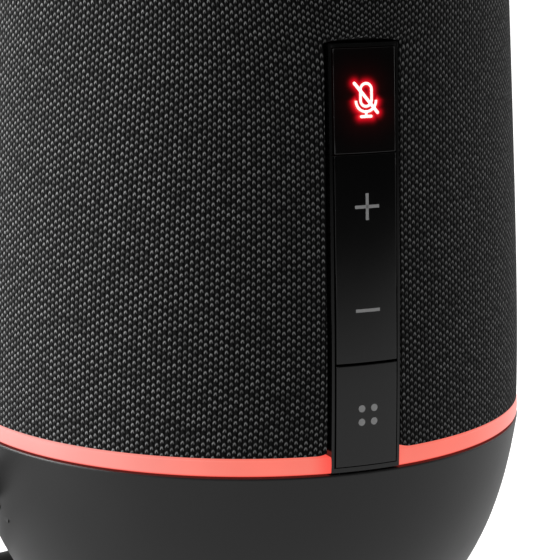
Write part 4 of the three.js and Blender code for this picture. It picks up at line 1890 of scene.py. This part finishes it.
def stroke_outline(
    start: tuple[float, float], end: tuple[float, float], width: float, end_steps: int = 6
) -> list[tuple[float, float]]:
    """Outlines a straight stroke.

    Args:
        start: Its first point as X and Z.
        end: Its last point.
        width: Its width.
        end_steps: Faces on each round end; 1 makes a square end.

    Returns:
        The outline's points.
    """
    run = Vector(end) - Vector(start)
    heading = Vector((run.x, run.y)).angle_signed(Vector((1.0, 0.0)))
    half = width / 2
    points = []
    for centre, turned in ((end, -pi / 2), (start, pi / 2)):
        for i in range(end_steps + 1):
            angle = heading + turned + pi * i / end_steps
            points.append((centre[0] + half * cos(angle), centre[1] + half * sin(angle)))
    return points


def circle_outline(centre: tuple[float, float], radius: float) -> list[tuple[float, float]]:
    """Outlines a dot.

    Args:
        centre: Its middle as X and Z.
        radius: Its radius.

    Returns:
        The outline's points.
    """
    angles = [2 * pi * i / 28 for i in range(28)]
    return [(centre[0] + radius * cos(a), centre[1] + radius * sin(a)) for a in angles]


def arc_band(
    centre: tuple[float, float], radius: float, width: float, start: float, end: float
) -> list[tuple[float, float]]:
    """Outlines a curved stroke.

    Args:
        centre: The arc's centre as X and Z.
        radius: The radius of its middle line.
        width: Its width.
        start: The angle at which it starts, in degrees.
        end: The angle at which it ends.

    Returns:
        The outline's points.
    """
    steps = 14
    angles = [radians(start + (end - start) * i / steps) for i in range(steps + 1)]
    outer = radius + width / 2
    inner = radius - width / 2
    points = [(centre[0] + outer * cos(a), centre[1] + outer * sin(a)) for a in angles]
    points += [(centre[0] + inner * cos(a), centre[1] + inner * sin(a)) for a in reversed(angles)]
    return points


def capsule_ring(
    centre: tuple[float, float], radius: float, straight: float, width: float
) -> list[list[tuple[float, float]]]:
    """Outlines the microphone's head as four strokes: two round ends and two sides.

    Args:
        centre: Its middle as X and Z.
        radius: The outer radius of its ends.
        straight: Half the length of its straight sides.
        width: The stroke's width.

    Returns:
        The strokes' outlines.
    """
    line = radius - width / 2
    x, z = centre
    overlap = 0.00002
    top = arc_band((x, z + straight), line, width, 0, 180)
    bottom = arc_band((x, z - straight), line, width, 180, 360)
    sides = [
        stroke_outline(
            (x + side * line, z - straight - overlap),
            (x + side * line, z + straight + overlap),
            width,
            1,
        )
        for side in (-1, 1)
    ]
    return [top, bottom, *sides]


# ---------------------------------------------------------------- top
@dataclass
class TopCap:
    """The trim ring at the top and the cap inside it, with its microphone holes."""

    trim_gap: float = 0.0008
    trim_width: float = 0.0024
    trim_bottom: float = 0.1810
    top: float = 0.1880
    cap_gap: float = 0.0003
    cap_edge: float = 0.1864
    cap_middle: float = 0.1854
    cap_under: float = 0.1826
    hole_circle: float = 0.0260
    hole_radius: float = 0.0008

    def build(self) -> None:
        """Builds the trim ring and the cap."""
        rim = COLUMN.shoulder_centre() - self.trim_gap
        self.trim(rim)
        self.cap(rim - self.trim_width - self.cap_gap)

    def trim(self, rim: float) -> None:
        """Turns the trim ring with its rounded upper edge.

        Args:
            rim: Its outer radius.
        """
        inner = rim - self.trim_width
        centre = (rim + inner) / 2
        bend = self.trim_width / 2
        arc = [
            (centre + bend * cos(radians(a)), self.top - bend + bend * sin(radians(a)))
            for a in range(0, 181, 15)
        ]
        profile = [(inner, self.trim_bottom), (rim, self.trim_bottom), *arc]
        ring = turn("top_trim", profile, 144)
        hand_over(ring, TRIM_PLASTIC, ("top_trim_ring",))

    def cap(self, edge: float) -> None:
        """Turns the dished cap and drills its holes.

        Args:
            edge: Its outer radius.
        """
        rise = self.cap_edge - self.cap_middle
        dish = []
        for i in range(13):
            radius = (edge - 0.0004) * (1 - i / 12)
            share = radius / edge
            dish.append((radius, self.cap_middle + rise * share**2))
        profile = [
            (0.0, self.cap_under),
            (edge, self.cap_under + 0.001),
            (edge, self.cap_edge - 0.0004),
            (edge - 0.0001, self.cap_edge - 0.0001),
            *dish,
        ]
        cap = turn("top_cap_plate", profile, 144, closed=False)
        side = self.hole_circle / sqrt(2)
        for x in (-1, 1):
            for y in (-1, 1):
                drill(cap, self.hole_radius, 0.01, (x * side, y * side, self.cap_middle))
        hand_over(cap, CAP_PLASTIC, ("top_cap",))


# ---------------------------------------------------------------- inside
@dataclass
class Interior:
    """The frame's own solids that stay: the chassis, the drivers and the electronics."""

    dressing: dict[Finish, tuple[str, ...]] = field(
        default_factory=lambda: {
            BASE_PLASTIC: ("bottom_plate",),
            FRAME_PLASTIC: ("grille_frame", "chassis_plate", "enclosure", "tweeter_housing"),
            TRIM_PLASTIC: ("dc_jack",),
            BOARD: ("main_board", "light_board", "microphone_board", "key_board"),
            STEEL: (
                "base_screw_1",
                "base_screw_2",
                "base_screw_3",
                "base_screw_4",
                "processor_shield",
                "action_switch",
                "volume_down_switch",
                "volume_up_switch",
                "mute_switch",
            ),
            ALUMINIUM: ("capacitor_1", "capacitor_2", "heat_spreader", "woofer_basket"),
            FERRITE: ("power_inductor", "woofer_magnet"),
            COPPER: ("antenna_front", "antenna_rear", "voice_coil"),
            PAPER: ("woofer_cone", "woofer_dust_cap", "tweeter_left", "tweeter_right"),
            FOOT_RUBBER: ("woofer_surround", "passive_radiator_left", "passive_radiator_right"),
        }
    )

    def build(self) -> None:
        """Gives each solid its finish."""
        for finish, names in self.dressing.items():
            for name in names:
                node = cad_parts[name]
                node.data.materials.clear()
                node.data.materials.append(finish.material())
                log.info("%s is dressed in %s", name, finish.name)


# ---------------------------------------------------------------- assembly
def corners() -> list[list[float]]:
    """Gives the lowest and highest corner of what is shown, as plain lists."""
    return [[float(value) for value in corner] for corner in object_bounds()]


def main() -> None:
    """Builds the studio and the speaker."""
    logging.basicConfig(level=logging.INFO, format="%(name)s: %(message)s")
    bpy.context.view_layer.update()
    assemblies = [
        Studio(),
        PowerLead(),
        BaseCup(),
        ClothSleeve(),
        KeyStrip(),
        TopCap(),
        Interior(),
    ]
    for assembly in assemblies:
        log.info("%s", type(assembly).__name__)
        assembly.build()


if __name__ == "__main__":
    main()
